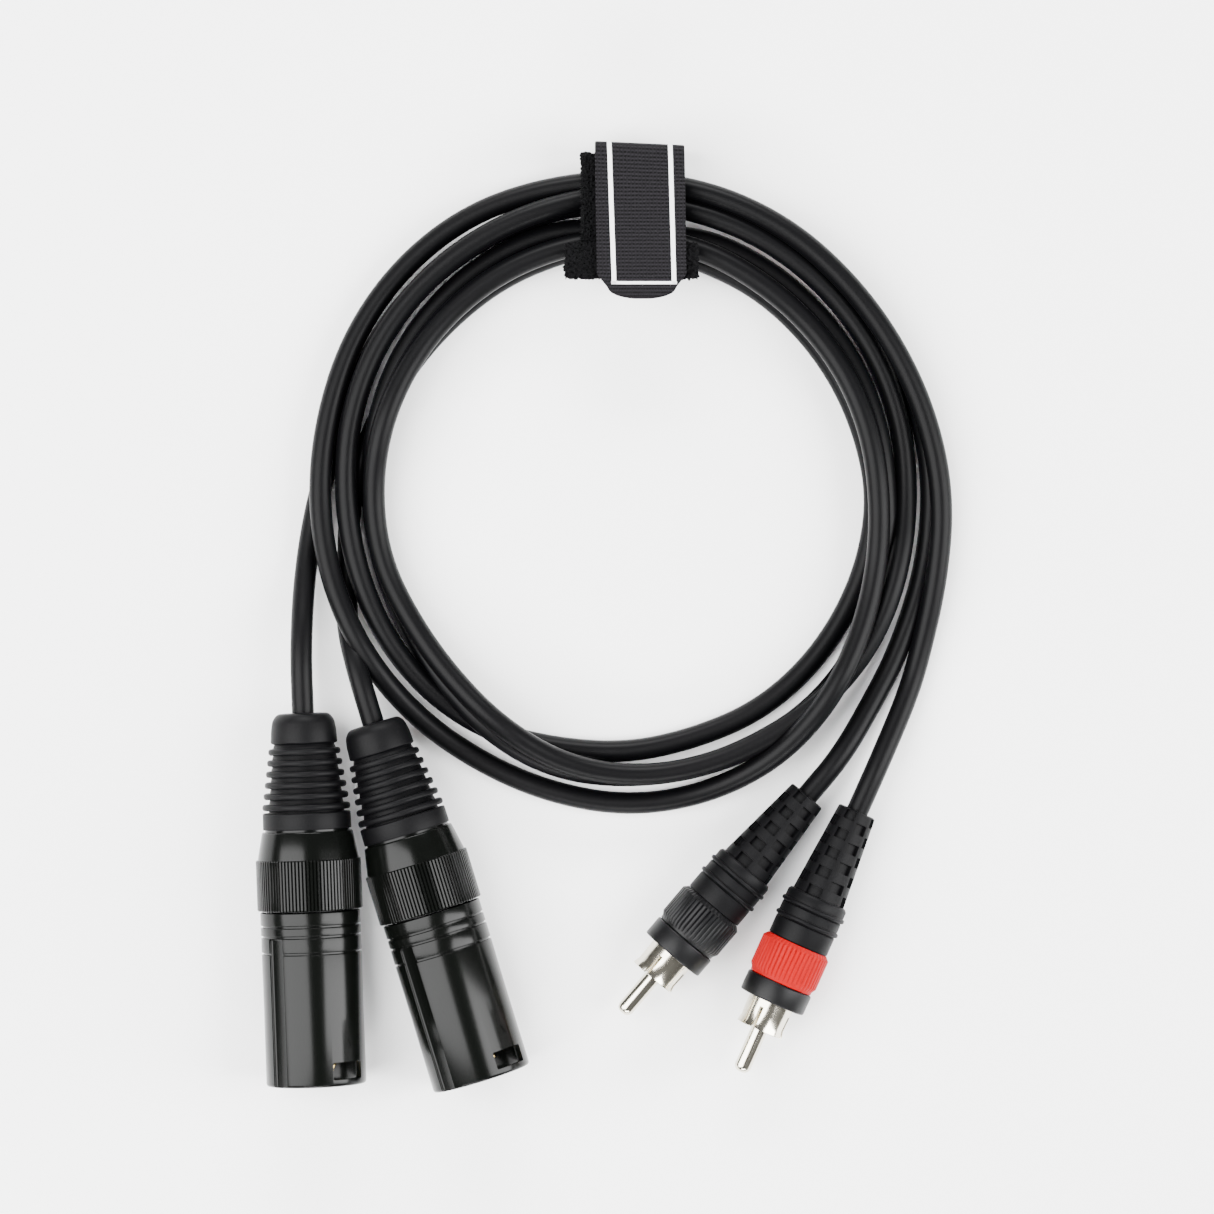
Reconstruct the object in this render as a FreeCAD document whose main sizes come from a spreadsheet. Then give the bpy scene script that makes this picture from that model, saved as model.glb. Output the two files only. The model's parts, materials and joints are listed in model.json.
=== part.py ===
import FreeCAD, Part
import math
import os
import re
import Sketcher

os.makedirs("parts", exist_ok=True)

Vector = FreeCAD.Vector
UP = Vector(0, 0, 1)

# Every driving size, in millimetres and degrees. Plug sizes run along the plug's own axis,
# from the cable end to the tip.
SIZES = {
    "cable_radius": 2.1,
    "cable_gap": 0.3,
    "chuck_gap": 0.1,
    "part_gap": 0.3,
    "screw_gap": 0.05,
    "contact_gap": 0.02,
    # three-pin plug: rubber boot
    "boot_nose_radius": 5.75,
    "boot_nose_flare": 0.5,
    "boot_nose_length": 5.9,
    "boot_core_radius": 6.0,
    "boot_core_flare": 1.4,
    "boot_rib_zone": 12.9,
    "boot_rib_radius": 6.75,
    "boot_rib_flare": 0.3,
    "boot_rib_pitch": 2.1,
    "boot_rib_width": 1.2,
    "boot_rib_offset": 0.6,
    "boot_collar_radius": 8.35,
    "boot_collar_length": 3.2,
    "boot_seam": 0.4,
    # three-pin plug: back nut
    "cone_start_radius": 8.6,
    "cone_end_radius": 9.7,
    "cone_length": 5.3,
    "knurl_radius": 10.0,
    "knurl_length": 9.6,
    "knurl_edge": 0.3,
    "sleeve_radius": 5.5,
    "sleeve_wall": 0.9,
    "sleeve_length": 6.0,
    "thread_wall": 0.7,
    "thread_length": 4.2,
    # three-pin plug: collet
    "chuck_radius": 6.6,
    "chuck_nose_radius": 4.2,
    "chuck_taper": 4.5,
    "chuck_length": 15.5,
    "chuck_setback": 2.0,
    # three-pin plug: barrel
    "barrel_radius": 9.5,
    "barrel_bore": 8.2,
    "barrel_edge": 0.5,
    "band_long": 2.4,
    "band_short": 1.5,
    "band_last": 2.7,
    "groove_width": 0.4,
    "groove_depth": 0.35,
    "barrel_tail": 25.2,
    "seat_depth": 9.0,
    "keyway_width": 3.4,
    "keyway_depth": 0.8,
    "keyway_turn": -43.0,
    "keyway_length": 28.0,
    "latch_turn": 48.0,
    "latch_width": 5.0,
    "latch_length": 3.3,
    "latch_setback": 1.3,
    # three-pin plug: contacts
    "insert_length": 9.0,
    "pin_radius": 1.2,
    "pin_circle": 3.81,
    "pin_length": 12.7,
    "pin_nose": 1.1,
    "pin_nose_radius": 0.6,
    "pin_shank_radius": 1.0,
    "cup_radius": 1.25,
    "cup_bore": 0.8,
    "cup_length": 4.0,
    "cup_depth": 2.4,
    "clip_width": 2.0,
    "clip_thickness": 0.4,
    "clip_length": 8.0,
    "core_radius": 0.6,
    "core_circle": 1.0,
    # phono plug
    "tail_radius": 3.7,
    "tail_flare": 1.5,
    "tail_length": 18.0,
    "rib_core_radius": 6.0,
    "rib_zone": 9.6,
    "rib_height": 0.4,
    "rib_width": 0.8,
    "rib_pitch": 2.9,
    "rib_offset": 1.0,
    "lip_radius": 5.0,
    "lip_length": 2.4,
    "lip_gap": 0.1,
    "boot_pocket": 3.4,
    "boot_pocket_start": 19.0,
    "ring_radius": 6.75,
    "ring_length": 7.4,
    "ring_edge": 0.6,
    "ring_collar_radius": 6.3,
    "ring_collar_length": 0.6,
    "spigot_radius": 5.5,
    "spigot_length": 5.0,
    "flange_radius": 6.5,
    "flange_length": 4.0,
    "flange_edge": 0.4,
    "flange_bore": 3.6,
    "shell_radius": 4.45,
    "shell_wall": 0.3,
    "shell_length": 5.7,
    "shell_seat": 1.5,
    "slot_width": 0.9,
    "slot_length": 4.6,
    "insulator_step": 0.5,
    "insulator_length": 5.6,
    "post_radius": 1.6,
    "post_length": 14.1,
    "post_nose": 1.0,
    "post_nose_radius": 0.9,
    "post_shank_radius": 1.2,
    "post_cup_length": 1.2,
    "clamp_radius": 2.8,
    "clamp_start": 20.0,
    "clamp_length": 9.0,
    # coil
    "coil_inner_radius": 44.6,
    "coil_width": 16.4,
    "coil_height": 8.4,
    "coil_edge": 3.2,
    # strap
    "strap_thickness": 1.4,
    "strap_gap": 0.3,
    "strap_left": -9.5,
    "strap_width": 17.0,
    "strap_inner_reach": 3.0,
    "strap_outer_reach": 4.2,
    "strap_headroom": 3.8,
    "strap_corner": 4.0,
    "turn_thickness": 1.1,
    "turn_start": 2.4,
    "turn_overlap": 4.6,
    "head_left": -12.6,
    "head_width": 25.4,
    "head_reach": 0.6,
    "head_depth": 6.7,
    "head_thickness": 1.0,
    "flap_left": -6.9,
    "flap_width": 17.0,
    "flap_root_inset": 1.6,
    "flap_shoulder_reach": 0.6,
    "flap_tip_length": 4.0,
    "flap_tip_radius": 4.2,
    "flap_thickness": 1.2,
    "patch_inner_inset": 7.9,
    "patch_outer_inset": 4.7,
    "patch_thickness": 0.9,
    "patch_margin": 2.0,
    "print_margin": 2.5,
    "print_width": 0.7,
    "print_height": 0.1,
    "print_start_inset": 2.6,
    "print_end_inset": 0.9,
    # where the four plugs lie: the cable end's place and the heading, turned from straight down
    "left_x": -62.35,
    "left_y": -41.5,
    "left_heading": 2.1,
    "right_x": -49.0,
    "right_y": -43.4,
    "right_heading": 17.0,
    "black_x": 33.6,
    "black_y": -57.3,
    "black_heading": -40.5,
    "red_x": 43.1,
    "red_y": -60.3,
    "red_heading": -24.2,
}

doc = FreeCAD.newDocument("cable_coil")
sheet = doc.addObject("Spreadsheet::Sheet", "Sizes")
for row, (alias, number) in enumerate(SIZES.items(), start=1):
    sheet.set(f"A{row}", alias.replace("_", " "))
    sheet.set(f"B{row}", str(number))
    sheet.setAlias(f"B{row}", alias)
doc.recompute()

pieces = []


def size(formula):
    """Value of a sum of aliases, such as "ring_length - 2*ring_edge", read from the sheet."""
    total = 0.0
    for term in re.findall(r"[+-]?[^+-]+", formula.replace(" ", "")):
        sign = -1.0 if term.startswith("-") else 1.0
        term = term.lstrip("+-")
        factor, _, alias = term.rpartition("*")
        count = float(factor) if factor else 1.0
        total += sign * count * (float(alias) if alias[0].isdigit() else float(sheet.get(alias)))
    return total


def linked(formula):
    """The same formula as an expression over the sheet."""
    return re.sub(r"[a-z]\w*", lambda word: "Sizes." + word.group(), formula)


def bind(item, **formulas):
    """Tie properties of item to formulas over the sheet."""
    for prop, formula in formulas.items():
        item.setExpression(prop, linked(formula))
    return item


def publish(label, item, place):
    """Name a finished sub-part, set its place and list it for export."""
    item.Label = label
    item.Placement = place
    pieces.append(item)
    return item


def origin_plane(body, role):
    """The body's own origin plane with this role."""
    return next(plane for plane in body.Origin.OriginFeatures if plane.Role == role)


def outline_sketch(body, outline, role):
    """A closed sketch through (across, along) formulas, on one of the body's origin planes."""
    sketch = body.newObject("Sketcher::SketchObject", body.Name + "_outline")
    sketch.AttachmentSupport = (origin_plane(body, role), [""])
    sketch.MapMode = "FlatFace"
    corners = [Vector(size(across), size(along), 0) for across, along in outline]
    count = len(corners)
    for index in range(count):
        edge = Part.LineSegment(corners[index], corners[(index + 1) % count])
        sketch.addGeometry(edge, False)
    for index in range(count):
        sketch.addConstraint(Sketcher.Constraint("Coincident", index, 2, (index + 1) % count, 1))
    for index, formulas in enumerate(outline):
        for kind, axis, formula, value in zip(
            ("DistanceX", "DistanceY"), (-2, -1), formulas, corners[index]
        ):
            if formula == "0":
                sketch.addConstraint(Sketcher.Constraint("PointOnObject", index, 1, axis))
                continue
            number = sketch.addConstraint(Sketcher.Constraint(kind, -1, 1, index, 1, value))
            sketch.setExpression(f"Constraints[{number}]", linked(formula))
    return sketch


def turned(label, outline):
    """A body turned from (radius, height) formulas about its own Z axis."""
    body = doc.addObject("PartDesign::Body", label)
    sketch = outline_sketch(body, outline, "XZ_Plane")
    turn = body.newObject("PartDesign::Revolution", label + "_turn")
    turn.Profile = sketch
    turn.ReferenceAxis = (sketch, ["V_Axis"])
    turn.Angle = 360
    sketch.Visibility = False
    return body


def slab(label, outline, thickness):
    """A body padded upwards from (x, y) formulas on its own XY plane."""
    body = doc.addObject("PartDesign::Body", label)
    sketch = outline_sketch(body, outline, "XY_Plane")
    pad = body.newObject("PartDesign::Pad", label + "_pad")
    pad.Profile = sketch
    bind(pad, Length=thickness)
    sketch.Visibility = False
    return body


def rod(name, radius, length):
    """A plain cylinder tool along Z."""
    return bind(doc.addObject("Part::Cylinder", name), Radius=radius, Height=length)


def block(name, width, depth, length):
    """A plain box tool."""
    return bind(doc.addObject("Part::Box", name), Length=width, Width=depth, Height=length)


def joined(name, items):
    """One object that holds all the items."""
    fuse = doc.addObject("Part::MultiFuse", name)
    fuse.Shapes = items
    return fuse


def cut(name, base, tools):
    """The base less every tool."""
    result = doc.addObject("Part::Cut", name)
    result.Base = base
    result.Tool = tools[0] if len(tools) == 1 else joined(name + "_tools", tools)
    return result


def on_rim(turn, width, radius, along):
    """Place of a box whose width is centred at this turn from the top and starts at radius."""
    angle = math.radians(turn)
    outward = Vector(math.sin(angle), math.cos(angle), 0)
    across = Vector(math.cos(angle), -math.sin(angle), 0)
    base = outward * radius - across * (width / 2) + UP * along
    return FreeCAD.Placement(base, FreeCAD.Rotation(UP, -turn))


def polar(turn, radius, along=0.0):
    """A point at this turn from the top, radius from the plug's axis."""
    angle = math.radians(turn)
    return Vector(radius * math.sin(angle), radius * math.cos(angle), along)


def tube_shape(label, points, radius):
    """A round tube along straight runs joined by tangent arcs, and its length."""
    edges = []
    start = points[0]
    for before, corner, after in zip(points, points[1:], points[2:]):
        inward = (before - corner).normalize()
        onward = (after - corner).normalize()
        reach = 0.45 * min((before - corner).Length, (after - corner).Length)
        half = (math.pi - inward.getAngle(onward)) / 2
        bend = reach / math.tan(half)
        entry = corner + inward * reach
        leave = corner + onward * reach
        middle_way = (inward + onward).normalize()
        middle = corner + middle_way * (bend / math.cos(half) - bend)
        edges.append(Part.LineSegment(start, entry).toShape())
        edges.append(Part.Arc(entry, middle, leave).toShape())
        start = leave
        print(f"{label}: bend radius {bend:.1f} mm")
    edges.append(Part.LineSegment(start, points[-1]).toShape())
    route = Part.Wire(edges)
    ring = Part.Circle(points[0], points[1] - points[0], radius).toShape()
    solid = route.makePipeShell([Part.Wire(ring)], True, True)
    expected = math.pi * radius**2 * route.Length
    print(f"{label}: length {route.Length:.1f} mm, volume ratio {solid.Volume / expected:.4f}")
    return solid


def tube(label, points, radius):
    """A tube as a feature of the document."""
    item = doc.addObject("Part::Feature", label)
    item.Shape = tube_shape(label, points, size(radius))
    return item


def plug_place(name, resting_radius):
    """Place of a plug lying on its widest band: its axis runs to the tip, its own Y faces up."""
    turn = math.radians(size(name + "_heading"))
    ahead = Vector(math.sin(turn), -math.cos(turn), 0)
    side = UP.cross(ahead)
    base = Vector(size(name + "_x"), size(name + "_y"), size(resting_radius))
    return FreeCAD.Placement(base, FreeCAD.Rotation(side, UP, ahead, "ZXY"))


# ---------------------------------------------------------------- three-pin plug

BOOT_END = "boot_nose_length + boot_rib_zone + boot_collar_length"
NUT_START = BOOT_END + " + boot_seam"
NUT_CONE_END = NUT_START + " + cone_length"
NUT_END = NUT_CONE_END + " + knurl_length"
BARREL_START = NUT_END + " + part_gap"
GROOVES_END = BARREL_START + " + band_long + band_short + band_last + 3*groove_width"
BARREL_END = GROOVES_END + " + barrel_tail"
SEAT = BARREL_START + " + seat_depth"
INSERT_END = SEAT + " + insert_length"
CHUCK_START = NUT_START + " + chuck_setback"
CHUCK_END = CHUCK_START + " + chuck_length"
JACKET_END = CHUCK_END
BOOT_RIBS = 6


def boot_outline():
    """Rounded nose, ribbed middle and plain collar over the nut's sleeve."""
    bore = "cable_radius + cable_gap"
    sleeve_start = NUT_START + " - sleeve_length"
    outline = [
        (bore, "0"),
        ("boot_nose_radius", "0"),
        ("boot_nose_radius + boot_nose_flare", "boot_nose_length"),
        ("boot_core_radius", "boot_nose_length"),
    ]
    for rib in range(BOOT_RIBS):
        flare = f"boot_rib_radius + {rib}*boot_rib_flare"
        start = f"boot_nose_length + boot_rib_offset + {rib}*boot_rib_pitch"
        core = f"boot_core_radius + {rib / BOOT_RIBS:.3f}*boot_core_flare"
        outline += [
            (core, start),
            (flare, start),
            (flare, start + " + boot_rib_width"),
            (core, start + " + boot_rib_width"),
        ]
    outline += [
        ("boot_core_radius + boot_core_flare", "boot_nose_length + boot_rib_zone"),
        ("boot_collar_radius", "boot_nose_length + boot_rib_zone"),
        ("boot_collar_radius", BOOT_END),
        ("sleeve_radius", BOOT_END),
        ("sleeve_radius", sleeve_start),
        (bore, sleeve_start),
    ]
    return outline


NUT_BORE = "chuck_radius + part_gap"
THREAD_RADIUS = NUT_BORE + " + thread_wall"


def nut_outline():
    """Sleeve under the boot, cone, knurled band and threaded spigot."""
    sleeve_bore = "sleeve_radius - sleeve_wall"
    return [
        (sleeve_bore, NUT_START + " - sleeve_length"),
        ("sleeve_radius", NUT_START + " - sleeve_length"),
        ("sleeve_radius", NUT_START),
        ("cone_start_radius", NUT_START),
        ("cone_end_radius", NUT_CONE_END),
        ("knurl_radius", NUT_CONE_END + " + knurl_edge"),
        ("knurl_radius", NUT_END + " - knurl_edge"),
        ("cone_end_radius", NUT_END),
        (THREAD_RADIUS, NUT_END),
        (THREAD_RADIUS, NUT_END + " + thread_length"),
        (NUT_BORE, NUT_END + " + thread_length"),
        (NUT_BORE, NUT_CONE_END),
        (sleeve_bore, NUT_START),
    ]


def chuck_outline():
    """Collet with a tapered nose, bored for the cable."""
    bore = "cable_radius + chuck_gap"
    return [
        (bore, CHUCK_START),
        ("chuck_nose_radius", CHUCK_START),
        ("chuck_radius", CHUCK_START + " + chuck_taper"),
        ("chuck_radius", CHUCK_END),
        (bore, CHUCK_END),
    ]


def barrel_outline():
    """Barrel with three grooves, a threaded tail and a shoulder for the insert."""
    tail_bore = THREAD_RADIUS + " + screw_gap"
    outline = [(tail_bore, BARREL_START), ("barrel_radius", BARREL_START)]
    reach = BARREL_START
    for band in ("band_long", "band_short", "band_last"):
        reach += " + " + band
        outline.append(("barrel_radius", reach))
        outline.append(("barrel_radius - groove_depth", reach))
        reach += " + groove_width"
        outline.append(("barrel_radius - groove_depth", reach))
        outline.append(("barrel_radius", reach))
    outline += [
        ("barrel_radius", BARREL_END + " - barrel_edge"),
        ("barrel_radius - barrel_edge", BARREL_END),
        ("barrel_bore", BARREL_END),
        ("barrel_bore", SEAT),
        (tail_bore, SEAT),
    ]
    return outline


def contact_outline():
    """Contact pin: hollow solder cup, shank in the insert and a round-nosed pin."""
    cup_mouth = SEAT + " - cup_length"
    return [
        ("0", cup_mouth + " + cup_depth"),
        ("cup_bore", cup_mouth + " + cup_depth"),
        ("cup_bore", cup_mouth),
        ("cup_radius", cup_mouth),
        ("cup_radius", SEAT),
        ("pin_shank_radius", SEAT),
        ("pin_shank_radius", INSERT_END),
        ("pin_radius", INSERT_END),
        ("pin_radius", INSERT_END + " + pin_length - pin_nose"),
        ("pin_nose_radius", INSERT_END + " + pin_length"),
        ("0", INSERT_END + " + pin_length"),
    ]


def build_barrel(side, place):
    """Barrel with its keyway channel and latch window."""
    body = turned(f"{side}_barrel_body", barrel_outline())
    keyway = block(f"{side}_keyway", "keyway_width", "2*keyway_depth", "keyway_length")
    keyway.Placement = on_rim(
        size("keyway_turn"),
        size("keyway_width"),
        size("barrel_radius - keyway_depth"),
        size(BARREL_END + " - keyway_length"),
    )
    latch = block(f"{side}_latch", "latch_width", "barrel_radius - pin_circle", "latch_length")
    latch.Placement = on_rim(
        size("latch_turn"),
        size("latch_width"),
        size("barrel_bore - barrel_edge"),
        size(BARREL_END + " - latch_setback - latch_length"),
    )
    publish(f"{side}_xlr_barrel", cut(f"{side}_barrel", body, [keyway, latch]), place)


def build_insert(side, place, turns):
    """Insert with holes for the shanks and a slot for the ground clip."""
    disc = rod(f"{side}_disc", "barrel_bore - contact_gap", "insert_length")
    disc.Placement.Base = UP * size(SEAT)
    tools = []
    for number, turn in enumerate(turns, start=1):
        hole = rod(f"{side}_hole_{number}", "pin_shank_radius + contact_gap", "insert_length")
        hole.Placement.Base = polar(turn, size("pin_circle"), size(SEAT))
        tools.append(hole)
    slot = block(f"{side}_slot", "clip_width", "2*clip_thickness", "insert_length")
    slot.Placement = on_rim(
        size("latch_turn"), size("clip_width"), size("barrel_bore - clip_thickness"), size(SEAT)
    )
    tools.append(slot)
    publish(f"{side}_xlr_insert", cut(f"{side}_insert", disc, tools), place)
    clip = block(
        f"{side}_clip", "clip_width - 2*contact_gap", "clip_thickness - 2*contact_gap", "clip_length"
    )
    clip_place = on_rim(
        size("latch_turn"),
        size("clip_width - 2*contact_gap"),
        size("barrel_bore - clip_thickness + contact_gap"),
        size(SEAT),
    )
    publish(f"{side}_xlr_ground_clip", clip, place.multiply(clip_place))


def build_cores(side, place, turns):
    """The three conductors from the cable's cut end to the solder cups."""
    cores = []
    mouth = size(SEAT + " - cup_length")
    for number, turn in enumerate(turns, start=1):
        start = polar(turn, size("core_circle"), size(JACKET_END))
        knee = polar(turn, size("pin_circle"), mouth - 0.25 * (mouth - size(JACKET_END)))
        end = polar(turn, size("pin_circle"), mouth + size("cup_depth - contact_gap"))
        cores.append(tube(f"{side}_core_{number}", [start, knee, end], "core_radius"))
    publish(f"{side}_xlr_core_wires", joined(f"{side}_cores", cores), place)


def build_xlr(side, place):
    """All the pieces of one three-pin plug."""
    turns = [size("latch_turn") + offset for offset in (-90, 90, 180)]
    build_barrel(side, place)
    build_insert(side, place, turns)
    for number, turn in enumerate(turns, start=1):
        pin_place = place.multiply(FreeCAD.Placement(polar(turn, size("pin_circle")), FreeCAD.Rotation()))
        publish(f"{side}_xlr_pin_{number}", turned(f"{side}_contact_{number}", contact_outline()), pin_place)
    build_cores(side, place, turns)
    publish(f"{side}_xlr_chuck", turned(f"{side}_chuck_body", chuck_outline()), place)
    publish(f"{side}_xlr_back_nut", turned(f"{side}_nut_body", nut_outline()), place)
    publish(f"{side}_xlr_boot", turned(f"{side}_boot_body", boot_outline()), place)
    publish(f"{side}_xlr_cable_end", rod(f"{side}_jacket", "cable_radius", JACKET_END), place)


# ---------------------------------------------------------------- phono plug

PHONO_BOOT_END = "tail_length + rib_zone"
RING_START = PHONO_BOOT_END + " + lip_gap"
RING_END = RING_START + " + ring_length"
COLLAR_END = RING_END + " + ring_collar_length"
FLANGE_START = COLLAR_END + " + lip_gap"
FLANGE_END = FLANGE_START + " + flange_length"
SHELL_END = FLANGE_END + " + shell_length"
INSULATOR_END = FLANGE_END + " + insulator_step"
CLAMP_END = "clamp_start + clamp_length"
PHONO_RIBS = 3


def phono_boot_outline():
    """Tapered tail, ribbed band and a lip that the ring turns on."""
    bore = "cable_radius + cable_gap"
    rib_top = "rib_core_radius + rib_height"
    outline = [
        (bore, "0"),
        ("tail_radius", "0"),
        ("tail_radius + tail_flare", "tail_length"),
        ("rib_core_radius", "tail_length"),
    ]
    for rib in range(PHONO_RIBS):
        start = f"tail_length + rib_offset + {rib}*rib_pitch"
        outline += [
            ("rib_core_radius", start),
            (rib_top, start),
            (rib_top, start + " + rib_width"),
            ("rib_core_radius", start + " + rib_width"),
        ]
    outline += [
        ("rib_core_radius", PHONO_BOOT_END),
        ("lip_radius", PHONO_BOOT_END),
        ("lip_radius", PHONO_BOOT_END + " + lip_length"),
        ("boot_pocket", PHONO_BOOT_END + " + lip_length"),
        ("boot_pocket", "boot_pocket_start"),
        (bore, "boot_pocket_start"),
    ]
    return outline


def ring_outline():
    """Knurled ring nut: turns on the boot's lip and screws on to the flange's spigot."""
    thread = "spigot_radius + screw_gap"
    lip_room = PHONO_BOOT_END + " + lip_length + lip_gap"
    return [
        ("lip_radius + lip_gap", RING_START),
        ("ring_radius - ring_edge", RING_START),
        ("ring_radius", RING_START + " + ring_edge"),
        ("ring_radius", RING_END + " - ring_edge"),
        ("ring_collar_radius", RING_END),
        ("ring_collar_radius", COLLAR_END),
        (thread, COLLAR_END),
        (thread, lip_room),
        ("lip_radius + lip_gap", lip_room),
    ]


def flange_outline():
    """Metal body: threaded spigot behind, flange in front and a seat for the shell."""
    return [
        ("flange_bore", FLANGE_START + " - spigot_length"),
        ("spigot_radius", FLANGE_START + " - spigot_length"),
        ("spigot_radius", FLANGE_START),
        ("flange_radius - flange_edge", FLANGE_START),
        ("flange_radius", FLANGE_START + " + flange_edge"),
        ("flange_radius", FLANGE_END + " - flange_edge"),
        ("flange_radius - flange_edge", FLANGE_END),
        ("shell_radius", FLANGE_END),
        ("shell_radius", FLANGE_END + " - shell_seat"),
        ("flange_bore", FLANGE_END + " - shell_seat"),
    ]


def insulator_outline():
    """Insulator stepped to fill the flange's bore and the root of the shell."""
    bore = "post_shank_radius"
    return [
        (bore, INSULATOR_END + " - insulator_length"),
        ("flange_bore", INSULATOR_END + " - insulator_length"),
        ("flange_bore", FLANGE_END + " - shell_seat"),
        ("shell_radius - shell_wall", FLANGE_END + " - shell_seat"),
        ("shell_radius - shell_wall", INSULATOR_END),
        (bore, INSULATOR_END),
    ]


def post_outline():
    """Centre pin: solder cup behind, shank in the insulator and a round-nosed pin."""
    back = INSULATOR_END + " - insulator_length"
    tip = INSULATOR_END + " + post_length"
    return [
        ("0", back + " - contact_gap"),
        ("cup_bore", back + " - contact_gap"),
        ("cup_bore", back + " - post_cup_length"),
        ("post_shank_radius", back + " - post_cup_length"),
        ("post_shank_radius", INSULATOR_END),
        ("post_radius", INSULATOR_END),
        ("post_radius", tip + " - post_nose"),
        ("post_nose_radius", tip),
        ("0", tip),
    ]


def build_shell(colour, place):
    """Outer contact: a thin tube with four slots."""
    inner = "shell_radius - shell_wall"
    start = FLANGE_END + " - shell_seat"
    body = turned(
        f"{colour}_shell_body",
        [(inner, start), ("shell_radius", start), ("shell_radius", SHELL_END), (inner, SHELL_END)],
    )
    slots = []
    for number in range(2):
        slot = block(f"{colour}_slot_{number}", "slot_width", "3*shell_radius", "slot_length")
        slot.Placement = on_rim(
            90 * number + 45,
            size("slot_width"),
            -size("1.5*shell_radius"),
            size(SHELL_END + " - slot_length"),
        )
        slots.append(slot)
    publish(f"{colour}_rca_shell", cut(f"{colour}_shell", body, slots), place)


def build_phono(colour, place):
    """All the pieces of one phono plug."""
    clamp = [
        ("cable_radius", "clamp_start"),
        ("clamp_radius", "clamp_start"),
        ("clamp_radius", CLAMP_END),
        ("cable_radius", CLAMP_END),
    ]
    build_shell(colour, place)
    publish(f"{colour}_rca_flange", turned(f"{colour}_flange_body", flange_outline()), place)
    publish(f"{colour}_rca_insulator", turned(f"{colour}_insulator_body", insulator_outline()), place)
    publish(f"{colour}_rca_center_pin", turned(f"{colour}_post_body", post_outline()), place)
    publish(f"{colour}_rca_ring", turned(f"{colour}_ring_body", ring_outline()), place)
    publish(f"{colour}_rca_boot", turned(f"{colour}_boot_body", phono_boot_outline()), place)
    publish(f"{colour}_rca_cable_clamp", turned(f"{colour}_clamp_body", clamp), place)
    publish(f"{colour}_rca_cable_end", rod(f"{colour}_jacket", "cable_radius", CLAMP_END), place)
    core_length = INSULATOR_END + " - insulator_length - 2*contact_gap - clamp_start - clamp_length"
    core_place = place.multiply(FreeCAD.Placement(UP * size(CLAMP_END), FreeCAD.Rotation()))
    publish(f"{colour}_rca_core_wire", rod(f"{colour}_core", "core_radius", core_length), core_place)


# ---------------------------------------------------------------- strap


def rounded_loop(name, inner, outer, bottom, top, corner, left, width):
    """A box with its long edges rounded, from inner to outer edge and bottom to top."""
    box = doc.addObject("Part::Box", name + "_box")
    box.Placement.Base = Vector(left, inner, bottom)
    box.Length = width
    box.Width = outer - inner
    box.Height = top - bottom
    fillet = doc.addObject("Part::Fillet", name)
    fillet.Base = box
    fillet.Edges = [(number, corner, corner) for number in (9, 10, 11, 12)]
    return fillet


COIL_OUTER = "coil_inner_radius + coil_width"
STRAP_INNER = "coil_inner_radius - strap_inner_reach"
STRAP_OUTER = COIL_OUTER + " + strap_outer_reach"
STRAP_TOP = "coil_height + strap_headroom"


def build_strap():
    """Band round the coil, its wide head, the outer turn and the flap with its patch and print."""
    thick = size("strap_thickness")
    left = size("strap_left")
    width = size("strap_width")
    top = size(STRAP_TOP)
    inner = size(STRAP_INNER)
    outer = size(STRAP_OUTER)
    corner = size("strap_corner")
    hollow = rounded_loop(
        "band_hollow", inner + thick, outer - thick, thick, top - thick, corner - thick, left - 1, width + 2
    )
    band = rounded_loop("band_outside", inner, outer, 0.0, top, corner, left, width)
    publish("strap_band", cut("band", band, [hollow]), FreeCAD.Placement())

    around = size("turn_thickness")
    turn_left = size("flap_left")
    turn_width = size("flap_width")
    start = size("turn_start")
    overlap = size("turn_overlap")
    outside = rounded_loop(
        "turn_outside",
        inner - around,
        outer + around,
        -around,
        top + around,
        corner + around,
        turn_left,
        turn_width,
    )
    core = rounded_loop("turn_core", inner, outer, 0.0, top, corner, turn_left - 1, turn_width + 2)
    keep = doc.addObject("Part::Box", "turn_keep")
    keep.Placement.Base = Vector(turn_left, outer - overlap, start)
    keep.Length = turn_width
    keep.Width = overlap + 2 * around
    keep.Height = top + 2 * around - start
    wall = doc.addObject("Part::Common", "turn_wall")
    wall.Base = cut("turn_shell", outside, [core])
    wall.Tool = keep
    publish("strap_outer_turn", wall, FreeCAD.Placement())


def rectangle(left, inner, right, outer):
    """Outline of a rectangle from formulas of its four sides."""
    return [(left, inner), (right, inner), (right, outer), (left, outer)]


def raised(height):
    """A place straight above the origin."""
    return FreeCAD.Placement(UP * height, FreeCAD.Rotation())


HEAD_BASE = STRAP_TOP
HEAD_INNER = STRAP_INNER + " - head_reach"
FLAP_BASE = STRAP_TOP + " + turn_thickness + strap_gap"
FLAP_ROOT = STRAP_OUTER + " - flap_root_inset"
FLAP_SHOULDER = STRAP_INNER + " - flap_shoulder_reach"
FLAP_TIP = FLAP_SHOULDER + " - flap_tip_length"
PRINT_START = STRAP_OUTER + " - print_start_inset"
PRINT_END = STRAP_INNER + " + print_end_inset"


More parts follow.
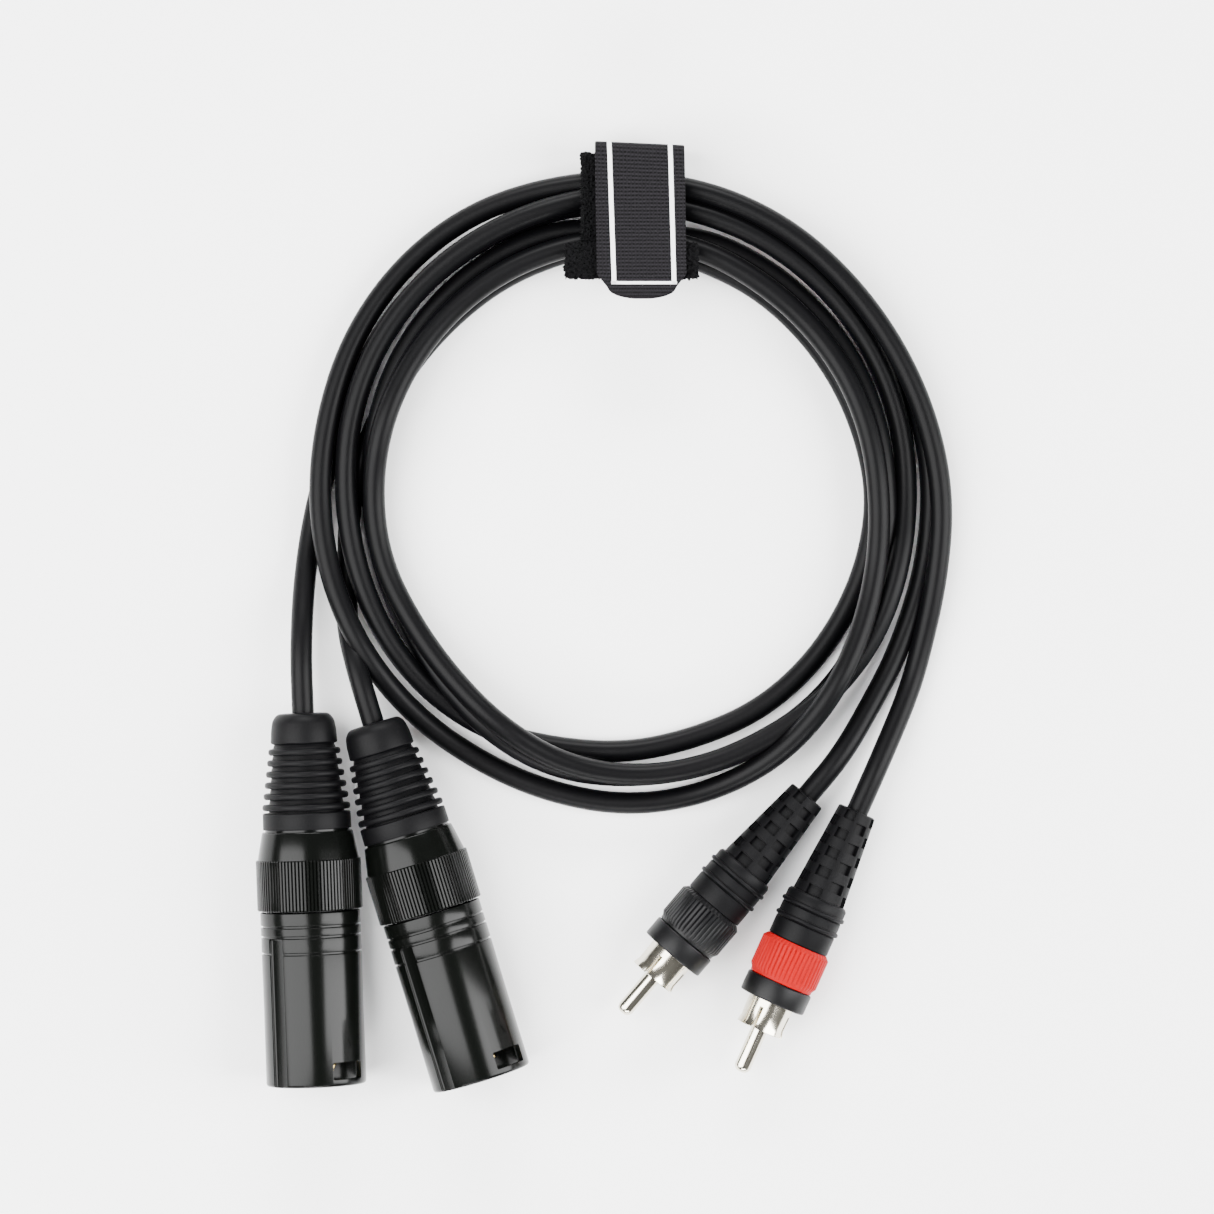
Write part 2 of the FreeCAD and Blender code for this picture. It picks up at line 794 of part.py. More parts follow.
def build_flap():
    """Head, flap, hook patch and printed border."""
    head = slab(
        "head_body",
        rectangle("head_left", HEAD_INNER, "head_left + head_width", HEAD_INNER + " + head_depth"),
        "head_thickness",
    )
    publish("strap_head", head, raised(size(HEAD_BASE)))

    flap_right = "flap_left + flap_width"
    tip_left = "flap_left + flap_tip_radius"
    flap = slab(
        "flap_body",
        [
            (tip_left, FLAP_TIP),
            (flap_right + " - flap_tip_radius", FLAP_TIP),
            (flap_right, FLAP_SHOULDER),
            (flap_right, FLAP_ROOT),
            ("flap_left", FLAP_ROOT),
            ("flap_left", FLAP_SHOULDER),
        ],
        "flap_thickness",
    )
    publish("strap_flap", flap, raised(size(FLAP_BASE)))

    patch = slab(
        "patch_body",
        rectangle(
            "flap_left + patch_margin",
            STRAP_INNER + " + patch_inner_inset",
            flap_right + " - patch_margin",
            STRAP_OUTER + " - patch_outer_inset",
        ),
        "patch_thickness",
    )
    publish("strap_hook_patch", patch, raised(size(FLAP_BASE + " - patch_thickness")))

    lines = []
    inside = "print_margin + print_width"
    sides = {
        "left": ("flap_left + print_margin", PRINT_END, "flap_left + " + inside, PRINT_START),
        "right": (
            flap_right + " - print_margin - print_width",
            PRINT_END,
            flap_right + " - print_margin",
            PRINT_START,
        ),
        "foot": (
            "flap_left + print_margin",
            PRINT_END + " - print_width",
            flap_right + " - print_margin",
            PRINT_END,
        ),
    }
    for name, sides_of in sides.items():
        lines.append(slab(f"print_{name}", rectangle(*sides_of), "print_height"))
    publish("strap_print", joined("print_lines", lines), raised(size(FLAP_BASE + " + flap_thickness")))


# ---------------------------------------------------------------- coil and leads


def build_coil():
    """The coiled turns of both cables as one closed ring, lifted by the strap at the back."""
    inner, outer = "coil_inner_radius", COIL_OUTER
    ring = turned(
        "coil_body",
        [
            (inner, "coil_edge"),
            (inner + " + coil_edge", "0"),
            (outer + " - coil_edge", "0"),
            (outer, "coil_edge"),
            (outer, "coil_height - coil_edge"),
            (outer + " - coil_edge", "coil_height"),
            (inner + " + coil_edge", "coil_height"),
            (inner, "coil_height - coil_edge"),
        ],
    )
    front = size(COIL_OUTER + " - coil_edge")
    back = size(STRAP_INNER + " + strap_thickness")
    tilt = math.atan2(size("strap_thickness"), front + back)
    turn = FreeCAD.Rotation(Vector(1, 0, 0), math.degrees(tilt))
    place = FreeCAD.Placement(UP * (front * math.sin(tilt)), turn)
    publish("cable_coil", ring, place)


def axis_point(place, along):
    """A point on a plug's axis."""
    return place.multVec(UP * along)


def build_leads(places):
    """The four free stretches of cable between the plugs and the coil."""
    run = 10.0
    left, right, black, red = places
    floor = size("cable_radius")
    routes = {
        "left_xlr_lead": [
            axis_point(left, 0),
            axis_point(left, -12.0),
            Vector(-62.3, -16.0, 4.6),
            Vector(-60.6, -3.5, floor),
        ],
        "right_xlr_lead": [
            axis_point(right, 0),
            axis_point(right, -run),
            Vector(-54.4, -24.4, 5.4),
            Vector(-54.1, -14.0, floor),
        ],
        "black_rca_lead": [
            axis_point(black, 0),
            axis_point(black, -run),
            Vector(46.0, -39.5, 3.4),
            Vector(50.8, -29.3, 2.4),
        ],
        "red_rca_lead": [
            axis_point(red, 0),
            axis_point(red, -run),
            Vector(52.3, -39.5, 3.6),
            Vector(56.4, -28.8, 2.4),
            Vector(58.2, -17.0, 2.6),
        ],
    }
    for label, points in routes.items():
        publish(label, tube(label + "_tube", points, "cable_radius"), FreeCAD.Placement())


left_place = plug_place("left", "knurl_radius")
right_place = plug_place("right", "knurl_radius")
black_place = plug_place("black", "ring_radius")
red_place = plug_place("red", "ring_radius")

build_xlr("left", left_place)
build_xlr("right", right_place)
build_phono("black", black_place)
build_phono("red", red_place)
build_coil()
build_leads([left_place, right_place, black_place, red_place])
build_strap()
build_flap()
doc.recompute()

for item in doc.Objects:
    if "Invalid" in item.State or "Error" in item.State:
        raise RuntimeError(f"{item.Label} did not build: {item.State}")
for item in pieces:
    if item.Shape.isNull() or not item.Shape.isValid() or not item.Shape.Solids:
        raise RuntimeError(f"{item.Label} has no valid solid")
    item.Shape.exportStep(f"parts/{item.Label}.step")
    box = item.Shape.BoundBox
    print(f"{item.Label}: {len(item.Shape.Solids)} solid, z {box.ZMin:.2f} to {box.ZMax:.2f}")
print(f"{len(pieces)} sub-parts")
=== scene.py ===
"""Looks of a coiled pair of audio cables, each with a three-pin plug and a phono plug, tied with a strap."""

import json
import logging
import math
from dataclasses import dataclass
from enum import Enum
from typing import Callable, Sequence

import bmesh
import bpy
from mathutils import Matrix, Vector


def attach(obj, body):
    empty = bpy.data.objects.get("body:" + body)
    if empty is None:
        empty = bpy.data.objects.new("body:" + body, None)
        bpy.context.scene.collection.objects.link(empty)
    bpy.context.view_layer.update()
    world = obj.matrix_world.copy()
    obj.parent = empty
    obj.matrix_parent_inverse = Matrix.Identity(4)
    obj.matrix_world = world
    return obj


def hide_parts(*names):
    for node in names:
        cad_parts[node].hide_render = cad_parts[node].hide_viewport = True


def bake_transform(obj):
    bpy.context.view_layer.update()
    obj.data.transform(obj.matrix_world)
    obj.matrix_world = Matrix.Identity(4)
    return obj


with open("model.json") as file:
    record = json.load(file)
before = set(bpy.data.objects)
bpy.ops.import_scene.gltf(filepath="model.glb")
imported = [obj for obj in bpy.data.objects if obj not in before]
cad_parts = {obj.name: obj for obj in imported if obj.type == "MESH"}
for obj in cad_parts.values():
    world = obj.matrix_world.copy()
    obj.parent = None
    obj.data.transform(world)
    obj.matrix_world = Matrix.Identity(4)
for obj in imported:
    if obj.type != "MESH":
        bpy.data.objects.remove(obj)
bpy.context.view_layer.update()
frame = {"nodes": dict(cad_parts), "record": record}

MM = 0.001
SMOOTH_ANGLE = 35.0
UP = Vector((0.0, 0.0, 1.0))
TOLERANCE = 1e-6
# A turned piece whose end rings are narrower than this, in millimetres, is closed on its axis.
CLOSED_RADIUS = 0.05
# Voxel size for raising pile, in millimetres.
PILE_VOXEL = 0.22
# The strap's lower layer lifts the cables by this many millimetres over this many degrees either side,
# and the lift then fades out over the next ones.
STRAP_LIFT = 1.4
LIFT_REACH = 10.0
LIFT_FADE = 40.0
log = logging.getLogger("cable_pair")

# (radius, height, rounding) of one ring of a turned piece, in millimetres.
Ring = tuple[float, float, float]
Piece = bpy.types.Object


class Slot(Enum):
    """The record's material slots."""

    GLOSS_BLACK = "xlr_black_gloss"
    BOOT_RUBBER = "boot_rubber"
    DARK_METAL = "dark_metal"
    NICKEL = "nickel"
    RED_RING = "red_ring"
    CABLE_JACKET = "cable_jacket"
    STRAP_FABRIC = "strap_fabric"
    WHITE_PRINT = "white_print"


class Element(Enum):
    """What a selection in edit mode is made of."""

    VERT = "VERT"
    EDGE = "EDGE"
    FACE = "FACE"


# ---------------------------------------------------------------- finishes


def linear(colour: str) -> tuple[float, float, float, float]:
    """Turns an sRGB hex colour into linear red, green, blue and alpha.

    Args:
        colour: six hex digits after a hash, such as "#1b1b1d".

    Returns:
        The four linear channels.
    """
    channels = [int(colour[start : start + 2], 16) / 255 for start in (1, 3, 5)]
    turned = [c / 12.92 if c <= 0.04045 else ((c + 0.055) / 1.055) ** 2.4 for c in channels]
    return (turned[0], turned[1], turned[2], 1.0)


def add_node(tree: bpy.types.NodeTree, kind: str, inputs: dict | None = None, **settings) -> bpy.types.Node:
    """Adds a node, sets its properties, and fills or links its inputs.

    Args:
        tree: the node tree that gets the node.
        kind: the node's type name.
        inputs: input name or number to a value or to a socket to link from.
        settings: properties of the node itself.

    Returns:
        The new node.
    """
    node = tree.nodes.new(kind)
    for name, value in settings.items():
        setattr(node, name, value)
    for key, value in (inputs or {}).items():
        if isinstance(value, bpy.types.NodeSocket):
            tree.links.new(value, node.inputs[key])
        else:
            node.inputs[key].default_value = value
    return node


class Pattern(Enum):
    """Where a finish takes its fine relief from."""

    GRAIN = "grain"
    WEAVE = "weave"


@dataclass(frozen=True)
class Finish:
    """One surface: what it is made of and how it was made.

    Args:
        name: the material's name.
        colour: sRGB hex of the surface.
        roughness: microfacet roughness.
        metallic: 1 for bare metal.
        coat: weight of a clear top layer.
        sheen: weight of the fuzz layer.
        grain_mm: size of the relief's features.
        depth_mm: height of the relief.
        mottle_and_relief_shade: how far the colour follows the relief: a tone that varies over the surface,
            with painted shade in the relief's hollows and painted highlight on its tops.
        specular: strength of the plain reflection, 0.5 for ordinary plastic.
        pattern: which relief the surface has.
    """

    name: str
    colour: str
    roughness: float
    metallic: float = 0.0
    coat: float = 0.0
    sheen: float = 0.0
    grain_mm: float = 0.4
    depth_mm: float = 0.01
    mottle_and_relief_shade: float = 0.15
    specular: float = 0.5
    pattern: Pattern = Pattern.GRAIN

    def material(self) -> bpy.types.Material:
        """Builds the material once and hands out the same one after that.

        Returns:
            The finish as a node material.
        """
        if self.name in bpy.data.materials:
            return bpy.data.materials[self.name]
        material = bpy.data.materials.new(self.name)
        material.use_nodes = True
        tree = material.node_tree
        shader = tree.nodes["Principled BSDF"]
        shader.inputs["Roughness"].default_value = self.roughness
        shader.inputs["Metallic"].default_value = self.metallic
        shader.inputs["Specular IOR Level"].default_value = self.specular
        shader.inputs["Coat Weight"].default_value = self.coat
        shader.inputs["Coat Roughness"].default_value = 0.12
        shader.inputs["Sheen Weight"].default_value = self.sheen
        relief = self.relief(tree)
        colour = self.tint(tree, relief)
        tree.links.new(colour, shader.inputs["Base Color"])
        bump = add_node(
            tree, "ShaderNodeBump", {"Height": relief, "Distance": self.depth_mm * MM, "Strength": 1.0}
        )
        tree.links.new(bump.outputs["Normal"], shader.inputs["Normal"])
        return material

    def relief(self, tree: bpy.types.NodeTree) -> bpy.types.NodeSocket:
        """Adds the height pattern, a fine grain unless the finish is woven.

        Args:
            tree: the material's node tree.

        Returns:
            The socket that carries the height, from about 0 to 1.
        """
        if self.pattern is Pattern.WEAVE:
            return self.weave(tree)
        where = add_node(tree, "ShaderNodeTexCoord")
        noise = add_node(
            tree,
            "ShaderNodeTexNoise",
            {"Vector": where.outputs["Object"], "Scale": 1 / (self.grain_mm * MM), "Detail": 4.0},
        )
        return noise.outputs["Fac"]

    def weave(self, tree: bpy.types.NodeTree) -> bpy.types.NodeSocket:
        """Adds cross ribs with finer threads between, read from the piece's own UV map in millimetres.

        Args:
            tree: the material's node tree.

        Returns:
            The socket that carries the height.
        """
        where = add_node(tree, "ShaderNodeUVMap", uv_map="cloth")
        parts = add_node(tree, "ShaderNodeSeparateXYZ", {"Vector": where.outputs["UV"]})
        waves = []
        for axis, shift in (("X", 0.0), ("Y", 0.5)):
            turns = add_node(
                tree,
                "ShaderNodeMath",
                {0: parts.outputs[axis], 1: 2 * math.pi / self.grain_mm, 2: shift * math.pi},
                operation="MULTIPLY_ADD",
            )
            waves.append(add_node(tree, "ShaderNodeMath", {0: turns.outputs[0]}, operation="SINE"))
        crossed = add_node(
            tree, "ShaderNodeMath", {0: waves[0].outputs[0], 1: waves[1].outputs[0]}, operation="MULTIPLY"
        )
        threads = add_node(
            tree, "ShaderNodeMath", {0: crossed.outputs[0], 1: 0.15, 2: 0.15}, operation="MULTIPLY_ADD"
        )
        lifted = add_node(
            tree,
            "ShaderNodeMath",
            {0: waves[1].outputs[0], 1: 0.2, 2: threads.outputs[0]},
            operation="MULTIPLY_ADD",
        )
        rough = add_node(
            tree, "ShaderNodeTexNoise", {"Vector": where.outputs["UV"], "Scale": 3.0, "Detail": 3.0}
        )
        mixed = add_node(
            tree,
            "ShaderNodeMath",
            {0: rough.outputs["Fac"], 1: 0.8, 2: lifted.outputs[0]},
            operation="MULTIPLY_ADD",
        )
        return mixed.outputs[0]

    def tint(self, tree: bpy.types.NodeTree, relief: bpy.types.NodeSocket) -> bpy.types.NodeSocket:
        """Adds the colour, darker in the hollows of the relief as painted shade and lighter on its tops as
        painted highlight.

        Args:
            tree: the material's node tree.
            relief: the socket that carries the height.

        Returns:
            The socket that carries the colour.
        """
        base = linear(self.colour)
        # Painted shade for the relief's hollows and painted highlight for its tops.
        dark = tuple(channel * (1 - self.mottle_and_relief_shade) for channel in base[:3]) + (1.0,)
        light = tuple(min(1.0, channel * (1 + self.mottle_and_relief_shade)) for channel in base[:3]) + (1.0,)
        ramp = add_node(tree, "ShaderNodeMapRange", {"Value": relief, "From Min": 0.25, "From Max": 0.85})
        mix = add_node(
            tree,
            "ShaderNodeMix",
            {0: ramp.outputs["Result"], 6: dark, 7: light},
            data_type="RGBA",
        )
        return mix.outputs[2]


# Zinc barrel in gloss black lacquer: clear mirror-like streaks over a near-black ground.
BLACK_LACQUER = Finish(
    "black_lacquer", "#050605", 0.2, specular=0.13, grain_mm=0.3, depth_mm=0.003, mottle_and_relief_shade=0.2
)
# The same lacquer over fresh knurling, in a lighter colour that is painted highlight, and satin, so the
# ridges read as fine grey lines.
LIT_KNURL_LACQUER = Finish(
    "lit_knurl_lacquer", "#232724", 0.5, specular=0.3, grain_mm=0.3, depth_mm=0.003, mottle_and_relief_shade=0.3
)
# Moulded soft rubber: matt, with a faint even grain.
BOOT_RUBBER = Finish(
    "moulded_rubber", "#050506", 0.5, specular=0.08, grain_mm=0.3, depth_mm=0.012, mottle_and_relief_shade=0.25
)
# Extruded soft PVC jacket: smoother than the boots, with a broad soft highlight.
CABLE_JACKET = Finish("pvc_jacket", "#040405", 0.42, specular=0.08, grain_mm=0.5, depth_mm=0.006, mottle_and_relief_shade=0.2)
# Glass-filled nylon: flat black moulding.
NYLON = Finish("moulded_nylon", "#1a1a1b", 0.5, grain_mm=0.35, depth_mm=0.008)
# White acetal of the phono insulator.
ACETAL = Finish("moulded_acetal", "#d9d8d2", 0.4, grain_mm=0.5, depth_mm=0.004, mottle_and_relief_shade=0.04)
# Bright nickel plate with a slightly warm cast.
NICKEL = Finish("bright_nickel", "#d8d2c2", 0.16, metallic=1.0, grain_mm=0.6, depth_mm=0.0008, mottle_and_relief_shade=0.05)
# Thin gold flash over nickel on the three contacts.
GOLD_FLASH = Finish("gold_flash", "#d8bd7a", 0.2, metallic=1.0, grain_mm=0.5, depth_mm=0.0008, mottle_and_relief_shade=0.05)
# Satin black anodised body of the phono plug.
BLACK_ANODISED = Finish("black_anodised", "#050506", 0.42, specular=0.15, grain_mm=0.2, depth_mm=0.002)
# Satin red anodised knurled ring.
RED_ANODISED = Finish("red_anodised", "#8c0004", 0.5, grain_mm=0.2, depth_mm=0.002, mottle_and_relief_shade=0.2, specular=0.08)
# Tinned spring steel.
TINNED_STEEL = Finish("tinned_steel", "#a9a9a6", 0.3, metallic=1.0, depth_mm=0.001, mottle_and_relief_shade=0.05)
# Extruded insulation of the inner conductors.
CORE_RED = Finish("core_insulation", "#a03028", 0.5, depth_mm=0.002)
# Coarse woven nylon webbing: dull near-black, with painted shade in the hollows of its cross ribs 0.7 mm
# apart and grey specks of painted highlight on their tops.
WEBBING = Finish(
    "woven_nylon",
    "#121113",
    0.8,
    specular=0.06,
    grain_mm=0.7,
    depth_mm=0.12,
    mottle_and_relief_shade=0.95,
    pattern=Pattern.WEAVE,
)
# Brushed loop pile: deep soft black with a ragged edge.
LOOP_PILE = Finish("loop_pile", "#050506", 0.95, specular=0.1, grain_mm=0.45, depth_mm=0.25, mottle_and_relief_shade=0.6)
# Moulded hook tape: black, dull and finely pimpled.
HOOK_TAPE = Finish("hook_tape", "#060607", 0.7, specular=0.1, grain_mm=0.6, depth_mm=0.15, mottle_and_relief_shade=0.6)
# Plastisol print over the weave, so that the threads still show through, with faint painted shade in the
# weave's hollows.
WHITE_PRINT = Finish(
    "white_print",
    "#84898c",
    0.8,
    specular=0.1,
    grain_mm=0.7,
    depth_mm=0.1,
    mottle_and_relief_shade=0.12,
    pattern=Pattern.WEAVE,
)
# Matt white sheet that everything lies on.
WHITE_SWEEP = Finish("white_sweep", "#fcfcfc", 0.8, mottle_and_relief_shade=0.0)


# ---------------------------------------------------------------- modelling


def deselect_all() -> None:
    """Clears the selection, so that an operator acts on the new piece only."""
    if bpy.context.object and bpy.context.object.mode != "OBJECT":
        bpy.ops.object.mode_set(mode="OBJECT")
    bpy.ops.object.select_all(action="DESELECT")


def select_only(piece: Piece) -> None:
    """Makes this piece the active and only selected one.

    Args:
        piece: the piece to select.
    """
    deselect_all()
    piece.select_set(True)
    bpy.context.view_layer.objects.active = piece


def pick(piece: Piece, element: Element, wanted: Callable[..., bool]) -> int:
    """Selects vertices, edges or faces by a test, in edit mode.

    Args:
        piece: the piece that is being edited.
        element: which of the three is selected.
        wanted: says of one vertex, edge or face whether it is selected.

    Returns:
        How many were selected.
    """
    bpy.ops.mesh.select_mode(type=element.value)
    bpy.ops.mesh.select_all(action="DESELECT")
    mesh = bmesh.from_edit_mesh(piece.data)
    parts = {Element.VERT: mesh.verts, Element.EDGE: mesh.edges, Element.FACE: mesh.faces}[element]
    chosen = [part for part in parts if wanted(part)]
    for part in chosen:
        part.select_set(True)
    bmesh.update_edit_mesh(piece.data)
    return len(chosen)


def apply_modifier(piece: Piece, kind: str, **settings) -> None:
    """Adds a modifier and applies it at once.

    Args:
        piece: the piece to change.
        kind: the modifier's type name.
        settings: the modifier's properties.
    """
    select_only(piece)
    modifier = piece.modifiers.new(kind.lower(), kind)
    for name, value in settings.items():
        setattr(modifier, name, value)
    bpy.ops.object.modifier_apply(modifier=modifier.name)


def lathe(name: str, profile: Sequence[Ring], segments: int = 96) -> Piece:
    """Turns a closed profile about +Z: a circle is extruded ring by ring and the ends are bridged.

    Args:
        name: the piece's name.
        profile: (radius, height, rounding) of each ring in millimetres, in order round the section.
        segments: how many sides the rings have.

    Returns:
        The turned piece, standing on its axis at the origin.
    """
    deselect_all()
    radius, height, _ = profile[0]
    bpy.ops.mesh.primitive_circle_add(vertices=segments, radius=radius * MM, location=(0, 0, 0))
    piece = bpy.context.object
    piece.name = name
    bpy.ops.object.mode_set(mode="EDIT")
    bpy.ops.mesh.select_mode(type="VERT")
    bpy.ops.mesh.select_all(action="SELECT")
    bpy.ops.transform.translate(value=(0, 0, height * MM))
    for wide, high, _ in profile[1:]:
        rise = {"value": (0, 0, (high - height) * MM)}
        bpy.ops.mesh.extrude_region_move(TRANSFORM_OT_translate=rise)
        scale = wide / radius
        bpy.ops.transform.resize(value=(scale, scale, 1), center_override=(0, 0, 0))
        radius, height = wide, high
    pick(piece, Element.EDGE, lambda edge: edge.is_boundary)
    if profile[0][0] < CLOSED_RADIUS and profile[-1][0] < CLOSED_RADIUS:
        bpy.ops.mesh.edge_face_add()
    else:
        bpy.ops.mesh.bridge_edge_loops()
    bpy.ops.mesh.select_all(action="SELECT")
    bpy.ops.mesh.normals_make_consistent(inside=False)
    for wide, high, soft in profile:
        if soft > 0:
            round_ring(piece, wide, high, soft)
    bpy.ops.object.mode_set(mode="OBJECT")
    return piece


def round_ring(piece: Piece, radius: float, height: float, soft: float) -> None:
    """Bevels one ring of edges of a turned piece, with sizes in millimetres.

    Args:
        piece: the turned piece, in edit mode.
        radius: the ring's radius.
        height: the ring's height.
        soft: how wide the bevel is on each side.
    """

    def on_ring(edge: bmesh.types.BMEdge) -> bool:
        """Says whether an edge belongs to the ring.

        Args:
            edge: an edge of the piece.

        Returns:
            True if both ends of the edge are on the ring.
        """
        return all(
            abs(vert.co.z - height * MM) < TOLERANCE
            and abs(math.hypot(vert.co.x, vert.co.y) - radius * MM) < TOLERANCE
            for vert in edge.verts
        )

    if pick(piece, Element.EDGE, on_ring):
        bpy.ops.mesh.bevel(offset=soft * MM, segments=3, affect="EDGES", clamp_overlap=True)


def block(name: str, size: Vector, centre: Vector, turn: float, soft: float) -> Piece:
    """A box with rounded edges, used as a cutter, with sizes in millimetres.

    Args:
        name: the piece's name.
        size: the box's three sizes.
        centre: its middle before it is turned.
        turn: its angle about +Z in radians.
        soft: how far its edges are rounded, 0 for sharp.

    Returns:
        The cutter.
    """
    deselect_all()
    bpy.ops.mesh.primitive_cube_add(size=1, location=(0, 0, 0))
    piece = bpy.context.object
    piece.name = name
    piece.matrix_world = (
        Matrix.Rotation(turn, 4, "Z") @ Matrix.Translation(centre * MM) @ Matrix.Diagonal((*(size * MM), 1))
    )
    bpy.ops.object.transform_apply(location=True, rotation=True, scale=True)
    if soft > 0:
        apply_modifier(piece, "BEVEL", width=soft * MM, segments=4, limit_method="NONE")
    return piece


def carve(piece: Piece, cutter: Piece) -> None:
    """Cuts the cutter out of the piece and throws the cutter away."""
    apply_modifier(piece, "BOOLEAN", object=cutter, operation="DIFFERENCE", solver="EXACT")
    bpy.data.objects.remove(cutter, do_unlink=True)


def settle(piece: Piece, place: Matrix) -> None:
    """Moves a piece from its own axis to where it lies and puts the place into its mesh.

    Args:
        piece: the piece, modelled about +Z at the origin.
        place: where it lies.
    """
    select_only(piece)
    piece.matrix_world = place
    bpy.ops.object.transform_apply(location=True, rotation=True, scale=True)


def dress(
    piece: Piece, finishes: Sequence[Finish], body: str | None, nodes: Sequence[str]
) -> None:
    """Shades a piece, gives it its finishes and ties it to its body and CAD nodes.

    Args:
        piece: the finished mesh, lying in its place.
        finishes: the main finish, then the finish of faces marked 1.
        body: the CAD body it moves with, or none for a piece that is tied to no body.
        nodes: the CAD nodes it stands for.
    """
    select_only(piece)
    bpy.ops.object.shade_smooth_by_angle(angle=math.radians(SMOOTH_ANGLE))
    piece.data.materials.clear()
    for finish in finishes:
        piece.data.materials.append(finish.material())
    if body:
        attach(piece, body)
    if nodes:
        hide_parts(*nodes)
    log.info("%s: %d faces on %s", piece.name, len(piece.data.polygons), body or "two bodies")


def dress_node(node: str, finish: Finish) -> None:
    """Gives a CAD node that stays visible its finish.

    Args:
        node: the node's name.
        finish: what it is made of.
    """
    materials = frame["nodes"][node].data.materials
    materials.clear()
    materials.append(finish.material())


# ---------------------------------------------------------------- plugs


@dataclass
class PlugPlace:
    """Where a plug lies: its own +Z runs along its axis to the tip, its +Y faces up.

    Args:
        joint: the joint about the plug's axis.
        reach: distance in millimetres from the cable end to the joint's point.
    """

    joint: str
    reach: float

    def matrix(self) -> Matrix:
        """Works out where the plug lies from its joint.

        Returns:
            The turn and shift from the plug's own frame to the object's.
        """
        facts = next(item for item in frame["record"]["behaviour"]["joints"] if item["name"] == self.joint)
        ahead = -Vector(facts["axis"]).normalized()
        side = UP.cross(ahead)
        base = Vector(facts["pos_m"]) - ahead * (self.reach * MM)
        turn = Matrix((side, UP, ahead)).transposed().to_4x4()
        return Matrix.Translation(base) @ turn

    def point(self, along: float) -> Vector:
        """A point on the plug's axis, in millimetres from the cable end."""
        return self.matrix() @ Vector((0, 0, along * MM))


